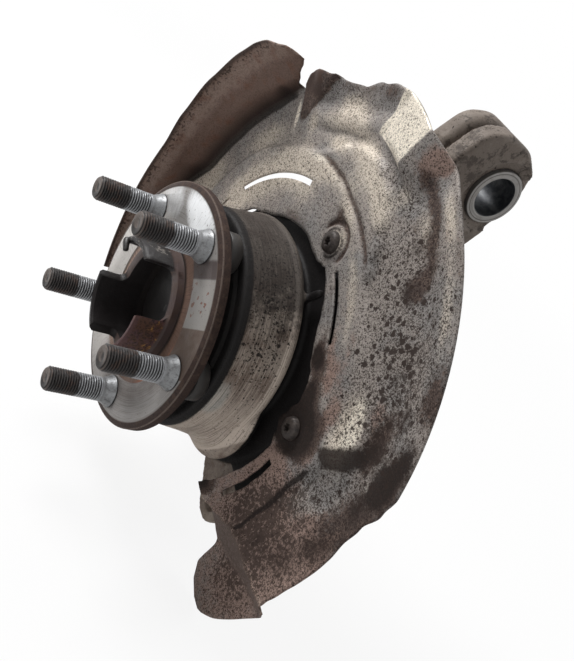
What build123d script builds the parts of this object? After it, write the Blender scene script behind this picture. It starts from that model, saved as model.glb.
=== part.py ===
from build123d import *
from math import cos, sin, radians
import os

# Frame, in millimetres: the hub turns about the Y axis, the wheel sits on the plane Y = 0 and
# leaves along -Y, and +Z points from the hub to the arm. Angles are clockwise from +Z, as seen
# from the wheel side.

# hub and wheel studs
flange_r = 71.5
flange_face_r = 67.7
flange_back_y = 9.0
flange_rim_y = 6.0
flange_chamfer = 1.2
flange_back_r = 65.5
relief_r = 46.0
relief_depth = 0.8
disc_pilot_r = 36.0
disc_pilot_height = 3.0
crown_r = 33.5
crown_bore_r = 29.2
crown_height = 20.0
crown_lug_angles = (101.0, 221.0, 341.0)
crown_lug_width = 57.0
notch_corner_r = 5.0
cup_floor_y = 15.0
hub_neck_r = 33.0
stud_circle_r = 57.15
stud_first_angle = 304.0
stud_count = 5
stud_thread_r = 7.0
stud_tip_r = 5.7
stud_length = 39.7
stud_tip_chamfer = 1.6
stud_collar_r = 8.2
stud_collar_height = 5.5
stud_knurl_r = 7.55
stud_hole_r = 7.6
stud_relief_r = 8.8
stud_relief_depth = 0.5
stud_head_r = 12.0
stud_head_height = 8.0

# hub bearing
shaft_r = 24.0
spline_bore_r = 14.0
spline_count = 24
spline_depth = 0.7
bearing_r = 47.0
bearing_front_y = 25.0
bearing_width = 42.0
inner_ring_r = 31.5
outer_ring_bore_r = 40.5
ball_r = 6.35
ball_circle_r = 36.0
ball_count = 14
ball_row_offset = 9.5
race_clearance = 0.3
cage_half_width = 7.6
cage_inner_r = 34.3
cage_outer_r = 38.0
seal_width = 3.0
seal_gap = 0.35
snap_ring_width = 2.0
snap_ring_bore_r = 42.0
snap_ring_gap = 12.0
snap_groove_depth = 1.6
clinch_r = 28.5
clinch_height = 4.0
plug_thickness = 3.0
plug_dome = 1.6

# knuckle casting
barrel_front_y = 19.0
barrel_front_r = 65.0
barrel_mid_r = 67.0
barrel_mid_y = 38.0
barrel_rear_r = 70.5
barrel_shoulder_y = 50.0
barrel_rear_y = 56.0
barrel_lip_bore_r = 43.0
# flared tongue on the rear rim of the barrel: a round lobe set off the hub axis
flare_r = 40.0
flare_root_r = 28.0
flare_angle = 126.0
flare_front_y = 44.0
flare_lip_y = 56.0
flare_rear_y = 60.0
# small rib from the barrel towards the shield
rim_rib_angle = 32.0
rim_rib_end_r = 77.0
rim_rib_half = 2.2
rim_rib_front_y = 58.0
rim_rib_rear_y = 62.0
body_r = 62.0
body_front_y = 61.0
body_rear_y = 86.0
flange_plate_r = 80.0
flange_plate_front_y = 67.0
flange_plate_rear_y = 79.0
# webs behind the shield: radius and angle of the end, and its half width
web_ends = ((84.0, 39.0, 19.0), (88.0, 112.0, 22.0), (86.0, 346.0, 15.0))
web_front_y = 69.0
web_rear_y = 86.0
web_root_half = 20.0
core_front_y = 40.0
core_rear_y = 140.0
mouth_seal_inner_r = 36.5
mouth_seal_outer_r = 59.0
mouth_seal_front_y = 17.6

# dust shield: outlines are (radius, angle) points, joined by an arc where two radii are equal
sheet = 1.2
shield_ring_y = 62.5
shield_ring_r = 108.0
shield_step_r = 118.0
shield_plate_y = 66.0
shield_edge_r = 170.0
shield_edge_y = 65.0
shield_outline = [
    (146.0, 241.0), (146.0, 277.0), (144.0, 295.0), (148.0, 312.0), (153.0, 322.0), (153.0, 324.0),
    (165.0, 325.0), (157.0, 343.0), (166.0, 352.0), (170.0, 358.0), (170.0, 78.0), (158.0, 86.0),
    (158.0, 96.0), (162.0, 112.0), (166.0, 121.0), (166.0, 130.0), (154.0, 135.0), (139.0, 135.0),
    (123.0, 129.0), (110.0, 132.0), (95.0, 140.0), (83.0, 114.0), (82.0, 98.0), (65.5, 78.0),
    (65.5, 58.0), (71.0, 37.0), (76.0, 24.0), (73.0, 14.0), (73.0, 328.0), (83.0, 294.0), (83.0, 246.0),
]
# raised lobe above the ring
shield_lobe_r = 27.0
shield_lobe_at = (107.0, 6.0)
# folded lip, as (radius, angle, y) points
lip_root = [
    (146.0, 243.0, 66.0), (146.0, 277.0, 66.0), (144.0, 295.0, 66.0), (148.0, 312.0, 66.0),
    (153.0, 322.0, 66.0),
]
lip_edge = [
    (147.0, 243.0, 30.0), (151.0, 272.0, 30.0), (163.0, 302.0, 30.0), (168.0, 320.0, 31.0),
    (160.0, 329.0, 46.0),
]
# slots as (radius, start angle, end angle)
slot_half_width = 1.7
slot_cut_front_y = 50.0
slot_cut_rear_y = 80.0
shield_slots = ((97.0, 300.0, 343.0), (99.0, 282.0, 292.0), (89.0, 26.0, 51.0), (96.0, 98.0, 127.0))

# shield bolts: circle radius and the angle of each
shield_bolt_circle_r = 88.0
shield_bolt_angles = (13.0, 84.0, 262.0)
shield_bolt_head_r = 6.6
shield_bolt_head_height = 3.4
shield_bolt_shank_r = 3.0
shield_bolt_length = 16.0
socket_r = 2.0
socket_lobe_r = 0.6
socket_depth = 2.4
shield_boss_r = 11.0

# arm with its bush, caliper ears and side bosses
bush_y = 133.0
bush_z = 149.5
bush_r = 17.0
bush_bore_r = 12.0
bush_near_x = 23.0
bush_length = 32.0
arm_near_x = 24.0
arm_far_x = -8.0
counterbore_r = 22.5
counterbore_depth = 3.0
valley_near_x = 12.0
valley_far_x = 8.5
valley_depth = 6.0
# side view of the arm as (y, z) points: the round head, and the foot below it
arm_head = [(90.5, 158.0), (99.0, 178.0), (114.0, 183.0), (132.0, 180.0), (147.0, 169.0), (152.0, 150.0)]
arm_foot = [(138.0, 112.0), (122.0, 70.0), (112.0, 20.0), (80.0, 20.0), (80.0, 70.0), (88.0, 120.0)]
# corners above the first height belong to the head, and the foot's are rounded above the second
arm_head_low_z = 135.0
arm_foot_low_z = 60.0
arm_head_corner_r = 16.0
arm_corner_r = 6.0
near_lobe_chamfer = 1.5
far_lobe_round = 6.0
ear_circle_r = 105.0
ear_angles = (140.0, 240.0)
ear_r = 13.0
ear_hole_r = 6.5
ear_root_half = 26.0
ear_front_y = 72.0
ear_rear_y = 90.0
side_boss_x = 112.0
side_boss_y = 92.0
side_boss_r = 18.0
side_boss_length = 34.0
side_root_half = 30.0
side_rib_half = 6.0
side_bore_r = 8.0
side_bore_length = 50.0


def place(radius, angle, y):
    """A point at a radius and a clockwise angle about the hub axis."""
    return (radius * sin(radians(angle)), y, radius * cos(radians(angle)))


def turned(points, sweep=360.0, start=0.0):
    """A solid turned about the hub axis from a closed outline of (radius, y) points."""
    outline = make_face(Polyline(*points, close=True))
    # the outline lies in the XY plane, at 90 degrees, and a revolution about +Y runs clockwise
    body = revolve(outline, Axis.Y, revolution_arc=sweep)
    return Rot(0, start - 90.0, 0) * body


def bar(radius, start_y, end_y, centre=(0.0, 0.0)):
    """A round bar parallel to the hub axis, at an (x, z) centre."""
    length = end_y - start_y
    middle = Pos(centre[0], (start_y + end_y) / 2, centre[1])
    return middle * Rot(90, 0, 0) * Cylinder(radius, length)


def cross_bar(radius, length, x, y, z):
    """A round bar along X with its middle at a point."""
    return Pos(x, y, z) * Rot(0, 90, 0) * Cylinder(radius, length)


def tube(outer_r, inner_r, start_y, end_y):
    """A ring about the hub axis."""
    return turned([(inner_r, start_y), (outer_r, start_y), (outer_r, end_y), (inner_r, end_y)])


def link(start, end, start_half, end_half, front_y, rear_y):
    """A flat tapered web between two (x, z) points with round ends."""
    dx = end[0] - start[0]
    dz = end[1] - start[1]
    length = (dx * dx + dz * dz) ** 0.5
    nx = -dz / length
    nz = dx / length
    corners = [
        (start[0] + nx * start_half, -start[1] - nz * start_half),
        (end[0] + nx * end_half, -end[1] - nz * end_half),
        (end[0] - nx * end_half, -end[1] + nz * end_half),
        (start[0] - nx * start_half, -start[1] + nz * start_half),
    ]
    outline = make_face(Polyline(*corners, close=True))
    thick = extrude(outline, (rear_y - front_y) / 2, both=True)
    web = Pos(0, (front_y + rear_y) / 2, 0) * Rot(-90, 0, 0) * thick
    return web + bar(start_half, front_y, rear_y, start) + bar(end_half, front_y, rear_y, end)


def save(name, shape):
    """Write one sub-part."""
    solids = shape.solids()
    result = solids[0] if len(solids) == 1 else Compound(children=solids)
    export_step(result, "parts/" + name + ".step")


def make_hub():
    """Flange, centring crown and hollow shaft in one forging."""
    rear_y = bearing_front_y + bearing_width
    profile = [
        (spline_bore_r, cup_floor_y),
        (crown_bore_r, cup_floor_y),
        (crown_bore_r, -crown_height + 1.0),
        (crown_bore_r + 1.0, -crown_height),
        (crown_r - 1.5, -crown_height),
        (crown_r, -crown_height + 2.0),
        (crown_r, -disc_pilot_height - 1.0),
        (disc_pilot_r, -disc_pilot_height),
        (disc_pilot_r, relief_depth),
        (relief_r, relief_depth),
        (relief_r, 0.0),
        (flange_face_r, 0.0),
        (flange_r, flange_chamfer),
        (flange_r, flange_rim_y),
        (flange_back_r, flange_back_y),
        (hub_neck_r + 6.0, flange_back_y),
        (hub_neck_r, flange_back_y + 4.0),
        (hub_neck_r, bearing_front_y),
        (shaft_r, bearing_front_y),
        (shaft_r, rear_y),
        (clinch_r, rear_y),
        (clinch_r, rear_y + clinch_height - 1.5),
        (clinch_r - 1.5, rear_y + clinch_height),
        (spline_bore_r, rear_y + clinch_height),
    ]
    hub = turned(profile)
    gap = 360.0 / len(crown_lug_angles) - crown_lug_width
    notch_floor = -disc_pilot_height
    height = crown_height + 5.0 + notch_floor
    for lug_angle in crown_lug_angles:
        middle = lug_angle + 180.0 / len(crown_lug_angles)
        chord = 2 * crown_bore_r * sin(radians(gap / 2))
        block = Box(chord, height, 14.0)
        block = fillet(block.edges().filter_by(Axis.Z).group_by(Axis.Y)[-1], notch_corner_r)
        reach = Pos(0, notch_floor - height / 2, crown_bore_r + 1.5)
        hub -= Rot(0, middle, 0) * reach * block
    for index in range(stud_count):
        angle = stud_first_angle + index * 360.0 / stud_count
        x, _, z = place(stud_circle_r, angle, 0)
        hub -= bar(stud_hole_r, -1.0, flange_back_y + 1.0, (x, z))
        hub -= bar(stud_relief_r, -1.0, stud_relief_depth, (x, z))
    groove = bar(spline_depth, cup_floor_y - 1.0, rear_y + clinch_height + 1.0, (0, spline_bore_r))
    for index in range(spline_count):
        hub -= Rot(0, index * 360.0 / spline_count, 0) * groove
    return hub


def make_stud(angle):
    """Pressed wheel stud: head behind the flange, collar and thread in front of it."""
    profile = [
        (0, -stud_length),
        (stud_tip_r, -stud_length),
        (stud_thread_r, -stud_length + stud_tip_chamfer),
        (stud_thread_r, -stud_collar_height),
        (stud_thread_r + 0.2, -stud_collar_height * 0.5),
        (stud_collar_r, 0),
        (stud_knurl_r, 0),
        (stud_knurl_r, flange_back_y),
        (stud_head_r, flange_back_y),
        (stud_head_r, flange_back_y + stud_head_height - 1.5),
        (stud_head_r - 1.5, flange_back_y + stud_head_height),
        (0, flange_back_y + stud_head_height),
    ]
    x, _, z = place(stud_circle_r, angle, 0)
    return Pos(x, 0, z) * turned(profile)


def race_torus(row_y):
    """The ball track of one row, larger than the balls by the race clearance."""
    ring = Torus(ball_circle_r, ball_r + race_clearance)
    return Pos(0, row_y, 0) * Rot(90, 0, 0) * ring


def make_outer_ring(rows):
    """Pressed-in outer ring with two ball tracks."""
    rear_y = bearing_front_y + bearing_width
    ring = tube(bearing_r, outer_ring_bore_r, bearing_front_y, rear_y)
    for row_y in rows:
        ring -= race_torus(row_y)
    return ring


def make_inner_ring(front_y, rear_y, row_y):
    """Half of the inner race, pressed on the hub shaft."""
    return tube(inner_ring_r, shaft_r, front_y, rear_y) - race_torus(row_y)


def make_balls(row_y):
    """One row of balls."""
    balls = []
    for index in range(ball_count):
        centre = place(ball_circle_r, index * 360.0 / ball_count, row_y)
        balls.append(Pos(*centre) * Sphere(ball_r))
    return Compound(children=balls)


def make_cage(row_y):
    """Ball cage with one round pocket for each ball."""
    cage = tube(cage_outer_r, cage_inner_r, row_y - cage_half_width, row_y + cage_half_width)
    for index in range(ball_count):
        pocket = Pos(0, row_y, ball_circle_r) * Cylinder(ball_r + race_clearance, 12.0)
        cage -= Rot(0, index * 360.0 / ball_count, 0) * pocket
    return cage


def make_seal(front_y):
    """Lip seal between the two races."""
    inner = inner_ring_r + seal_gap
    return tube(outer_ring_bore_r, inner, front_y, front_y + seal_width)


def make_snap_ring():
    """Open ring that holds the bearing in the barrel."""
    front_y = bearing_front_y + bearing_width
    ring = tube(bearing_r + snap_groove_depth - 0.1, snap_ring_bore_r, front_y, front_y + snap_ring_width)
    gap = Pos(0, front_y, -bearing_r) * Box(snap_ring_gap, 10.0, 20.0)
    return ring - gap


def make_mouth_seal():
    """Rubber ring in the mouth of the barrel, behind the flange."""
    inner = mouth_seal_inner_r
    front = mouth_seal_front_y
    return turned([
        (inner, barrel_front_y - 0.9),
        (inner + 6.0, front),
        (mouth_seal_outer_r - 2.0, front),
        (mouth_seal_outer_r, barrel_front_y),
        (inner, barrel_front_y),
    ])


def make_plug():
    """Domed plug that closes the splined bore at the bottom of the hub cup."""
    profile = [
        (0, cup_floor_y),
        (0, cup_floor_y - plug_thickness - plug_dome),
        (crown_bore_r * 0.6, cup_floor_y - plug_thickness - plug_dome * 0.6),
        (crown_bore_r - 0.1, cup_floor_y - plug_thickness),
        (crown_bore_r - 0.1, cup_floor_y),
    ]
    return turned(profile)


def arm_side(grow=0.0):
    """Side view of the arm as a closed face in the YZ plane; grow moves the part round the bush outwards."""
    moved = []
    for y, z in arm_head:
        reach = ((y - bush_y) ** 2 + (z - bush_z) ** 2) ** 0.5
        scale = (reach + grow) / reach
        moved.append((bush_y + (y - bush_y) * scale, bush_z + (z - bush_z) * scale))
    outline = make_face(Plane.YZ * Polyline(*arm_foot, *moved, close=True))
    outline = fillet([corner for corner in outline.vertices() if corner.Z > arm_head_low_z], arm_head_corner_r)
    low = [corner for corner in outline.vertices() if arm_foot_low_z < corner.Z < arm_head_low_z]
    return fillet(low, arm_corner_r)


def arm_slab(start_x, end_x, grow=0.0):
    """A slice of the arm between two X planes."""
    middle = Pos((start_x + end_x) / 2, 0, 0)
    return middle * extrude(arm_side(grow), (end_x - start_x) / 2, both=True)


def make_arm():
    """Arm that rises inboard to the bush, with a flat near lobe, a valley and a rounded far lobe."""
    near = arm_slab(valley_near_x, arm_near_x)
    near = chamfer(near.faces().sort_by(Axis.X)[-1].outer_wire().edges(), near_lobe_chamfer)
    far = arm_slab(arm_far_x, valley_far_x)
    for end in (0, -1):
        far = fillet(far.faces().sort_by(Axis.X)[end].outer_wire().edges(), far_lobe_round)
    return near + arm_slab(arm_far_x + 4.0, arm_near_x - 4.0, -valley_depth) + far


def make_flare():
    """Tongue that widens the rear rim of the barrel on one side."""
    x, _, z = place(flare_r, flare_angle, 0)
    cone_middle = (flare_front_y + flare_lip_y) / 2
    cone = Cone(flare_root_r, flare_r, flare_lip_y - flare_front_y)
    return Pos(x, cone_middle, z) * Rot(-90, 0, 0) * cone + bar(flare_r, flare_lip_y, flare_rear_y, (x, z))


def make_knuckle():
    """The casting: barrel, rear body, arm, caliper ears and side bosses."""
    rear_y = bearing_front_y + bearing_width
    barrel = turned([
        (barrel_lip_bore_r, barrel_front_y),
        (barrel_front_r - 1.5, barrel_front_y),
        (barrel_front_r, barrel_front_y + 1.5),
        (barrel_mid_r, barrel_mid_y),
        (barrel_rear_r - 1.5, barrel_shoulder_y),
        (barrel_rear_r, (barrel_shoulder_y + barrel_rear_y) / 2),
        (barrel_rear_r - 1.5, barrel_rear_y),
        (body_r, body_front_y),
        (body_r, flange_plate_front_y - 2.0),
        (flange_plate_r, flange_plate_front_y),
        (flange_plate_r, flange_plate_rear_y),
        (body_r, flange_plate_rear_y + 2.0),
        (body_r, body_rear_y - 4.0),
        (body_r - 4.0, body_rear_y),
        (bearing_r, body_rear_y),
        (bearing_r, rear_y + snap_ring_width),
        (bearing_r + snap_groove_depth, rear_y + snap_ring_width),
        (bearing_r + snap_groove_depth, rear_y),
        (bearing_r, rear_y),
        (bearing_r, bearing_front_y),
        (barrel_lip_bore_r, bearing_front_y),
    ])
    core = bar(body_r - 3.0, core_front_y, core_rear_y)
    webs = Part()
    holes = []
    for angle in shield_bolt_angles:
        x, _, z = place(shield_bolt_circle_r, angle, 0)
        root = (x * 0.5, z * 0.5)
        webs += link(root, (x, z), web_root_half, shield_boss_r, web_front_y, web_rear_y - 3.0)
        webs += bar(shield_boss_r - 1.0, shield_ring_y + sheet, web_front_y + 2.0, (x, z))
        bolt_end_y = shield_ring_y + shield_bolt_length + 2.0
        holes.append(bar(shield_bolt_shank_r, shield_ring_y, bolt_end_y, (x, z)))
    for radius, angle, half in web_ends:
        x, _, z = place(radius, angle, 0)
        webs += link((x * 0.5, z * 0.5), (x, z), half + 6.0, half, web_front_y, flange_plate_rear_y)
    for angle in ear_angles:
        x, _, z = place(ear_circle_r, angle, 0)
        webs += link((x * 0.45, z * 0.45), (x, z), ear_root_half, ear_r, ear_front_y, ear_rear_y)
        holes.append(bar(ear_hole_r, ear_front_y - 1.0, ear_rear_y + 1.0, (x, z)))
    for side in (-1, 1):
        x = side * side_boss_x
        root = (x * 0.4, 0)
        webs += link(root, (x, 0), side_root_half, side_boss_r - 3.0, web_front_y, web_rear_y + 8.0)
        webs += link(root, (x, 0), side_rib_half * 2, side_rib_half, web_front_y, web_rear_y + 14.0)
        webs += cross_bar(side_boss_r, side_boss_length, x, side_boss_y, 0)
        bore_middle = x + side * (side_bore_length - side_boss_length) / 2
        holes.append(cross_bar(side_bore_r, side_bore_length, bore_middle, side_boss_y, 0))
    webs += make_flare()
    x, _, z = place(rim_rib_end_r, rim_rib_angle, 0)
    webs += link((x * 0.75, z * 0.75), (x, z), rim_rib_half, rim_rib_half, rim_rib_front_y, rim_rib_rear_y)
    solid = barrel + (webs + make_arm() - core)
    for hole in holes:
        solid -= hole
    solid -= cross_bar(bush_r, bush_length * 3, 0, bush_y, bush_z)
    return solid - cross_bar(counterbore_r, counterbore_depth * 2, arm_near_x, bush_y, bush_z)


def make_bush():
    """Steel sleeve pressed in the arm."""
    middle = bush_near_x - bush_length / 2
    sleeve = cross_bar(bush_r, bush_length, middle, bush_y, bush_z)
    return sleeve - cross_bar(bush_bore_r, bush_length + 2.0, middle, bush_y, bush_z)


def polar_face(points):
    """A flat face from (radius, angle) points, with an arc wherever two neighbours share a radius."""
    edges = []
    for index, (radius, angle) in enumerate(points):
        next_radius, next_angle = points[(index + 1) % len(points)]
        start = place(radius, angle, 0)
        end = place(next_radius, next_angle, 0)
        if radius == next_radius:
            middle = place(radius, angle + (next_angle - angle) % 360.0 / 2, 0)
            if (next_angle - angle) % 360.0 > 180.0:
                middle = place(radius, angle - (angle - next_angle) % 360.0 / 2, 0)
            edges.append(ThreePointArc(start, middle, end))
        else:
            edges.append(Line(start, end))
    return make_face(edges)


def make_shield():
    """Stamped splash shield: raised ring and lobe, dished plate, a foot, and a folded lip on one side."""
    line = [
        (shield_outline[-1][0] - 25.0, shield_ring_y),
        (shield_ring_r, shield_ring_y),
        (shield_step_r, shield_plate_y),
        (shield_edge_r * 0.8, shield_plate_y),
        (shield_edge_r + 5.0, shield_edge_y),
    ]
    back = [(radius, y + sheet) for radius, y in reversed(line)]
    outline = extrude(polar_face(shield_outline), 100.0, both=True)
    x, _, z = place(*shield_lobe_at, 0)
    cap = bar(shield_lobe_r, shield_ring_y, shield_plate_y + sheet, (x, z))
    hollow = bar(shield_lobe_r - sheet, shield_ring_y + sheet, shield_plate_y + sheet, (x, z))
    plate = turned(line + back) - hollow
    wall = cap - hollow - bar(shield_ring_r, shield_ring_y + sheet, slot_cut_rear_y)
    shield = (plate + wall) & outline
    root = Spline(*[place(*point) for point in lip_root])
    edge = Spline(*[place(*point) for point in lip_edge])
    shield += thicken(Face.make_surface_from_curves(root, edge), sheet)
    holes = []
    for angle in shield_bolt_angles:
        x, _, z = place(shield_bolt_circle_r, angle, 0)
        holes.append(bar(shield_bolt_shank_r + 0.4, slot_cut_front_y, slot_cut_rear_y, (x, z)))
    for radius, start, end in shield_slots:
        corners = [
            (radius - slot_half_width, slot_cut_front_y),
            (radius + slot_half_width, slot_cut_front_y),
            (radius + slot_half_width, slot_cut_rear_y),
            (radius - slot_half_width, slot_cut_rear_y),
        ]
        holes.append(turned(corners, end - start, start))
    for hole in holes:
        shield -= hole
    return shield


def make_shield_bolt(angle):
    """Button-head bolt with a six-lobed socket."""
    x, _, z = place(shield_bolt_circle_r, angle, 0)
    head_y = shield_ring_y - shield_bolt_head_height
    bolt = turned([
        (0, head_y),
        (shield_bolt_head_r * 0.6, head_y),
        (shield_bolt_head_r * 0.88, head_y + 1.0),
        (shield_bolt_head_r, shield_ring_y),
        (shield_bolt_shank_r, shield_ring_y),
        (shield_bolt_shank_r, shield_ring_y + shield_bolt_length),
        (0, shield_ring_y + shield_bolt_length),
    ])
    socket = bar(socket_r, head_y - 1.0, head_y + socket_depth)
    for index in range(6):
        lobe_x, _, lobe_z = place(socket_r, index * 60.0, 0)
        socket += bar(socket_lobe_r, head_y - 1.0, head_y + socket_depth, (lobe_x, lobe_z))
    return Pos(x, 0, z) * (bolt - socket)


def main():
    """Build and write every sub-part."""
    os.makedirs("parts", exist_ok=True)
    middle_y = bearing_front_y + bearing_width / 2
    rear_y = bearing_front_y + bearing_width
    rows = (middle_y - ball_row_offset, middle_y + ball_row_offset)
    save("knuckle", make_knuckle())
    save("hub", make_hub())
    for index in range(stud_count):
        save("wheel_stud_" + str(index + 1), make_stud(stud_first_angle + index * 360.0 / stud_count))
    save("bearing_outer_ring", make_outer_ring(rows))
    save("bearing_inner_ring_outboard", make_inner_ring(bearing_front_y, middle_y, rows[0]))
    save("bearing_inner_ring_inboard", make_inner_ring(middle_y, rear_y, rows[1]))
    save("bearing_balls_outboard", make_balls(rows[0]))
    save("bearing_balls_inboard", make_balls(rows[1]))
    save("bearing_cage_outboard", make_cage(rows[0]))
    save("bearing_cage_inboard", make_cage(rows[1]))
    save("bearing_seal_outboard", make_seal(bearing_front_y))
    save("bearing_seal_inboard", make_seal(rear_y - seal_width))
    save("bearing_snap_ring", make_snap_ring())
    save("barrel_mouth_seal", make_mouth_seal())
    save("hub_bore_plug", make_plug())
    save("arm_bush_sleeve", make_bush())
    save("dust_shield", make_shield())
    for index, angle in enumerate(shield_bolt_angles):
        save("shield_bolt_" + str(index + 1), make_shield_bolt(angle))


main()
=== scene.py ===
from math import atan2, cos, degrees, exp, hypot, pi, radians, sin

import bmesh
import bpy
from mathutils import Matrix, Quaternion, Vector


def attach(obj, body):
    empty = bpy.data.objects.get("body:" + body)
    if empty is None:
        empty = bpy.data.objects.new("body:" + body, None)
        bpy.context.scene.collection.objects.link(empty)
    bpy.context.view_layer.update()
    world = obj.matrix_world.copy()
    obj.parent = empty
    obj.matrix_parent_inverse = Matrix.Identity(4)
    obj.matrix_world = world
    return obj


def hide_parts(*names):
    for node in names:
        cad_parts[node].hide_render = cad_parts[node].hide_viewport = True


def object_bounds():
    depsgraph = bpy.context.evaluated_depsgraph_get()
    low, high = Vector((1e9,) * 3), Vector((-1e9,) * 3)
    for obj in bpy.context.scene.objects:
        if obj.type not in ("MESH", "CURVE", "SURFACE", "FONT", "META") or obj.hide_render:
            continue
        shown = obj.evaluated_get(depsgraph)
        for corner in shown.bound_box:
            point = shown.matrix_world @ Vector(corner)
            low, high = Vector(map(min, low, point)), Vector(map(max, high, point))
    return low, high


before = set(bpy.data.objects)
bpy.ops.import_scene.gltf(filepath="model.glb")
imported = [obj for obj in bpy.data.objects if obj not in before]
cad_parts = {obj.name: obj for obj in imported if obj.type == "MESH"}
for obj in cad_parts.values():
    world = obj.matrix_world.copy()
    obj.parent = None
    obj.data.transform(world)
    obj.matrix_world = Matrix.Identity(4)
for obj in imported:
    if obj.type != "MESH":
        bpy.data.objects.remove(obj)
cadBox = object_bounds()
mm = 0.001


# Angles here run clockwise from +Z, seen from the wheel side. Past 360 they go on counting, so
# that one sweep can cross the top of the part.


def smooth(low, high, value):
    share = min(1.0, max(0.0, (value - low) / (high - low)))
    return share * share * (3 - 2 * share)


def ramp(low, high, value):
    return min(1.0, max(0.0, (value - low) / (high - low)))


def follow(points, at):
    # eased value at one place along (place, value) points
    before = points[0]
    for point in points[1:]:
        if at <= point[0]:
            return before[1] + (point[1] - before[1]) * smooth(before[0], point[0], at)
        before = point
    return before[1]


def follows(points, at):
    # the same with straight stretches
    before = points[0]
    for point in points[1:]:
        if at <= point[0]:
            return before[1] + (point[1] - before[1]) * ramp(before[0], point[0], at)
        before = point
    return before[1]


def plateau(riseLow, riseHigh, fallLow, fallHigh, value):
    # eased up between the first two limits and down between the last two
    return smooth(riseLow, riseHigh, value) * (1 - smooth(fallLow, fallHigh, value))


def bell(value, centre, width):
    return exp(-((value - centre) / width) ** 2)


def polar(radius, angle, y):
    turn = radians(angle)
    return Vector((radius * sin(turn), y, radius * cos(turn))) * mm


def polarOf(point):
    # radius and angle in millimetres and degrees
    return hypot(point.x, point.z) / mm, degrees(atan2(point.x, point.z)) % 360


def spun(points, steps, centre):
    # a bmesh turned round a line beside the hub axis, from (radius, y) points
    bm = bmesh.new()
    verts = [bm.verts.new(((centre[0] + radius) * mm, y * mm, centre[1] * mm)) for radius, y in points]
    edges = [bm.edges.new(pair) for pair in zip(verts, verts[1:])]
    middle = (centre[0] * mm, 0, centre[1] * mm)
    bmesh.ops.spin(
        bm, geom=verts + edges, cent=middle, axis=(0, 1, 0), angle=2 * pi, steps=steps, use_merge=True,
    )
    bmesh.ops.remove_doubles(bm, verts=bm.verts, dist=0.005 * mm)
    bmesh.ops.recalc_face_normals(bm, faces=bm.faces)
    return bm


def soften(bm, width, above, segments, chosen=None):
    # bevel the edges that turn by more than some degrees
    sharp = [e for e in bm.edges if len(e.link_faces) == 2 and e.calc_face_angle() > radians(above)]
    if chosen:
        sharp = [e for e in sharp if chosen(e)]
    bmesh.ops.bevel(
        bm, geom=sharp, offset=width * mm, segments=segments, profile=0.5,
        affect="EDGES", material=-1, clamp_overlap=True,
    )


def nodeCopy(name, flat=None):
    # merged bmesh of a CAD node, its flat parts joined up where an angle is given
    bm = bmesh.new()
    bm.from_mesh(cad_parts[name].data)
    bmesh.ops.remove_doubles(bm, verts=bm.verts, dist=0.004 * mm)
    if flat:
        bmesh.ops.dissolve_limit(bm, angle_limit=radians(flat), verts=bm.verts, edges=bm.edges)
    return bm


def addPiece(name, bm, body, material, replaced, creaseAngle):
    mesh = bpy.data.meshes.new(name)
    bm.to_mesh(mesh)
    bm.free()
    return dressPiece(name, mesh, body, material, replaced, creaseAngle)


def dressPiece(name, mesh, body, material, replaced, creaseAngle):
    piece = bpy.data.objects.new(name, mesh)
    bpy.context.scene.collection.objects.link(piece)
    mesh.materials.clear()
    mesh.materials.append(material)
    mesh.polygons.foreach_set("use_smooth", [True] * len(mesh.polygons))
    mesh.set_sharp_from_angle(angle=radians(creaseAngle))
    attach(piece, body)
    if replaced:
        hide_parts(*replaced)
    return piece


def paint(mesh, name, rule):
    # a point attribute from 0 to 1 whose value comes from a rule on the point
    layer = mesh.attributes.new(name, "FLOAT", "POINT")
    layer.data.foreach_set("value", [min(1.0, max(0.0, rule(v.co))) for v in mesh.vertices])


def spotted(spots, base=0.0):
    # a rule of soft spots: radius, angle, radial size, sideways size, strength
    def rule(point):
        radius, angle = polarOf(point)
        total = base
        for spotRadius, spotAngle, deep, wide, strength in spots:
            side = radians((angle - spotAngle + 180) % 360 - 180) * spotRadius
            reach = ((radius - spotRadius) / deep) ** 2 + (side / wide) ** 2
            # further out a spot adds almost nothing
            if reach < 6:
                total += strength * exp(-reach)
        return total
    return rule


print("helpers ready")


class Wire:
    # an output socket of a material, with arithmetic that adds its Math nodes
    def __init__(self, tree, socket=None):
        self.tree = tree
        self.socket = socket

    def node(self, kind, settings=None, sockets=None, output=0):
        made = self.tree.nodes.new(kind)
        for name, value in (settings or {}).items():
            setattr(made, name, value)
        for name, value in (sockets or {}).items():
            if isinstance(value, Wire):
                self.tree.links.new(value.socket, made.inputs[name])
            else:
                made.inputs[name].default_value = value
        return Wire(self.tree, made.outputs[output] if len(made.outputs) else None)

    def sibling(self, name):
        # another output of the same node
        return Wire(self.tree, self.socket.node.outputs[name])

    def maths(self, operation, first, second=0.0):
        return self.node("ShaderNodeMath", {"operation": operation}, {0: first, 1: second})

    def __add__(self, other):
        return self.maths("ADD", self, other)

    def __radd__(self, other):
        return self.maths("ADD", other, self)

    def __sub__(self, other):
        return self.maths("SUBTRACT", self, other)

    def __rsub__(self, other):
        return self.maths("SUBTRACT", other, self)

    def __mul__(self, other):
        return self.maths("MULTIPLY", self, other)

    def __rmul__(self, other):
        return self.maths("MULTIPLY", other, self)

    def __truediv__(self, other):
        return self.maths("DIVIDE", self, other)

    def __pow__(self, other):
        return self.maths("POWER", self, other)

    def highest(self, other):
        return self.maths("MAXIMUM", self, other)

    def rise(self, low, high):
        # 0 below low and 1 above high, eased
        return self.node(
            "ShaderNodeMapRange", {"interpolation_type": "SMOOTHSTEP"},
            {"Value": self, "From Min": low, "From Max": high, "To Min": 0.0, "To Max": 1.0},
        )

    def fall(self, low, high):
        return 1 - self.rise(low, high)

    def between(self, low, high, soft):
        return self.rise(low - soft, low + soft) * self.fall(high - soft, high + soft)


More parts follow.
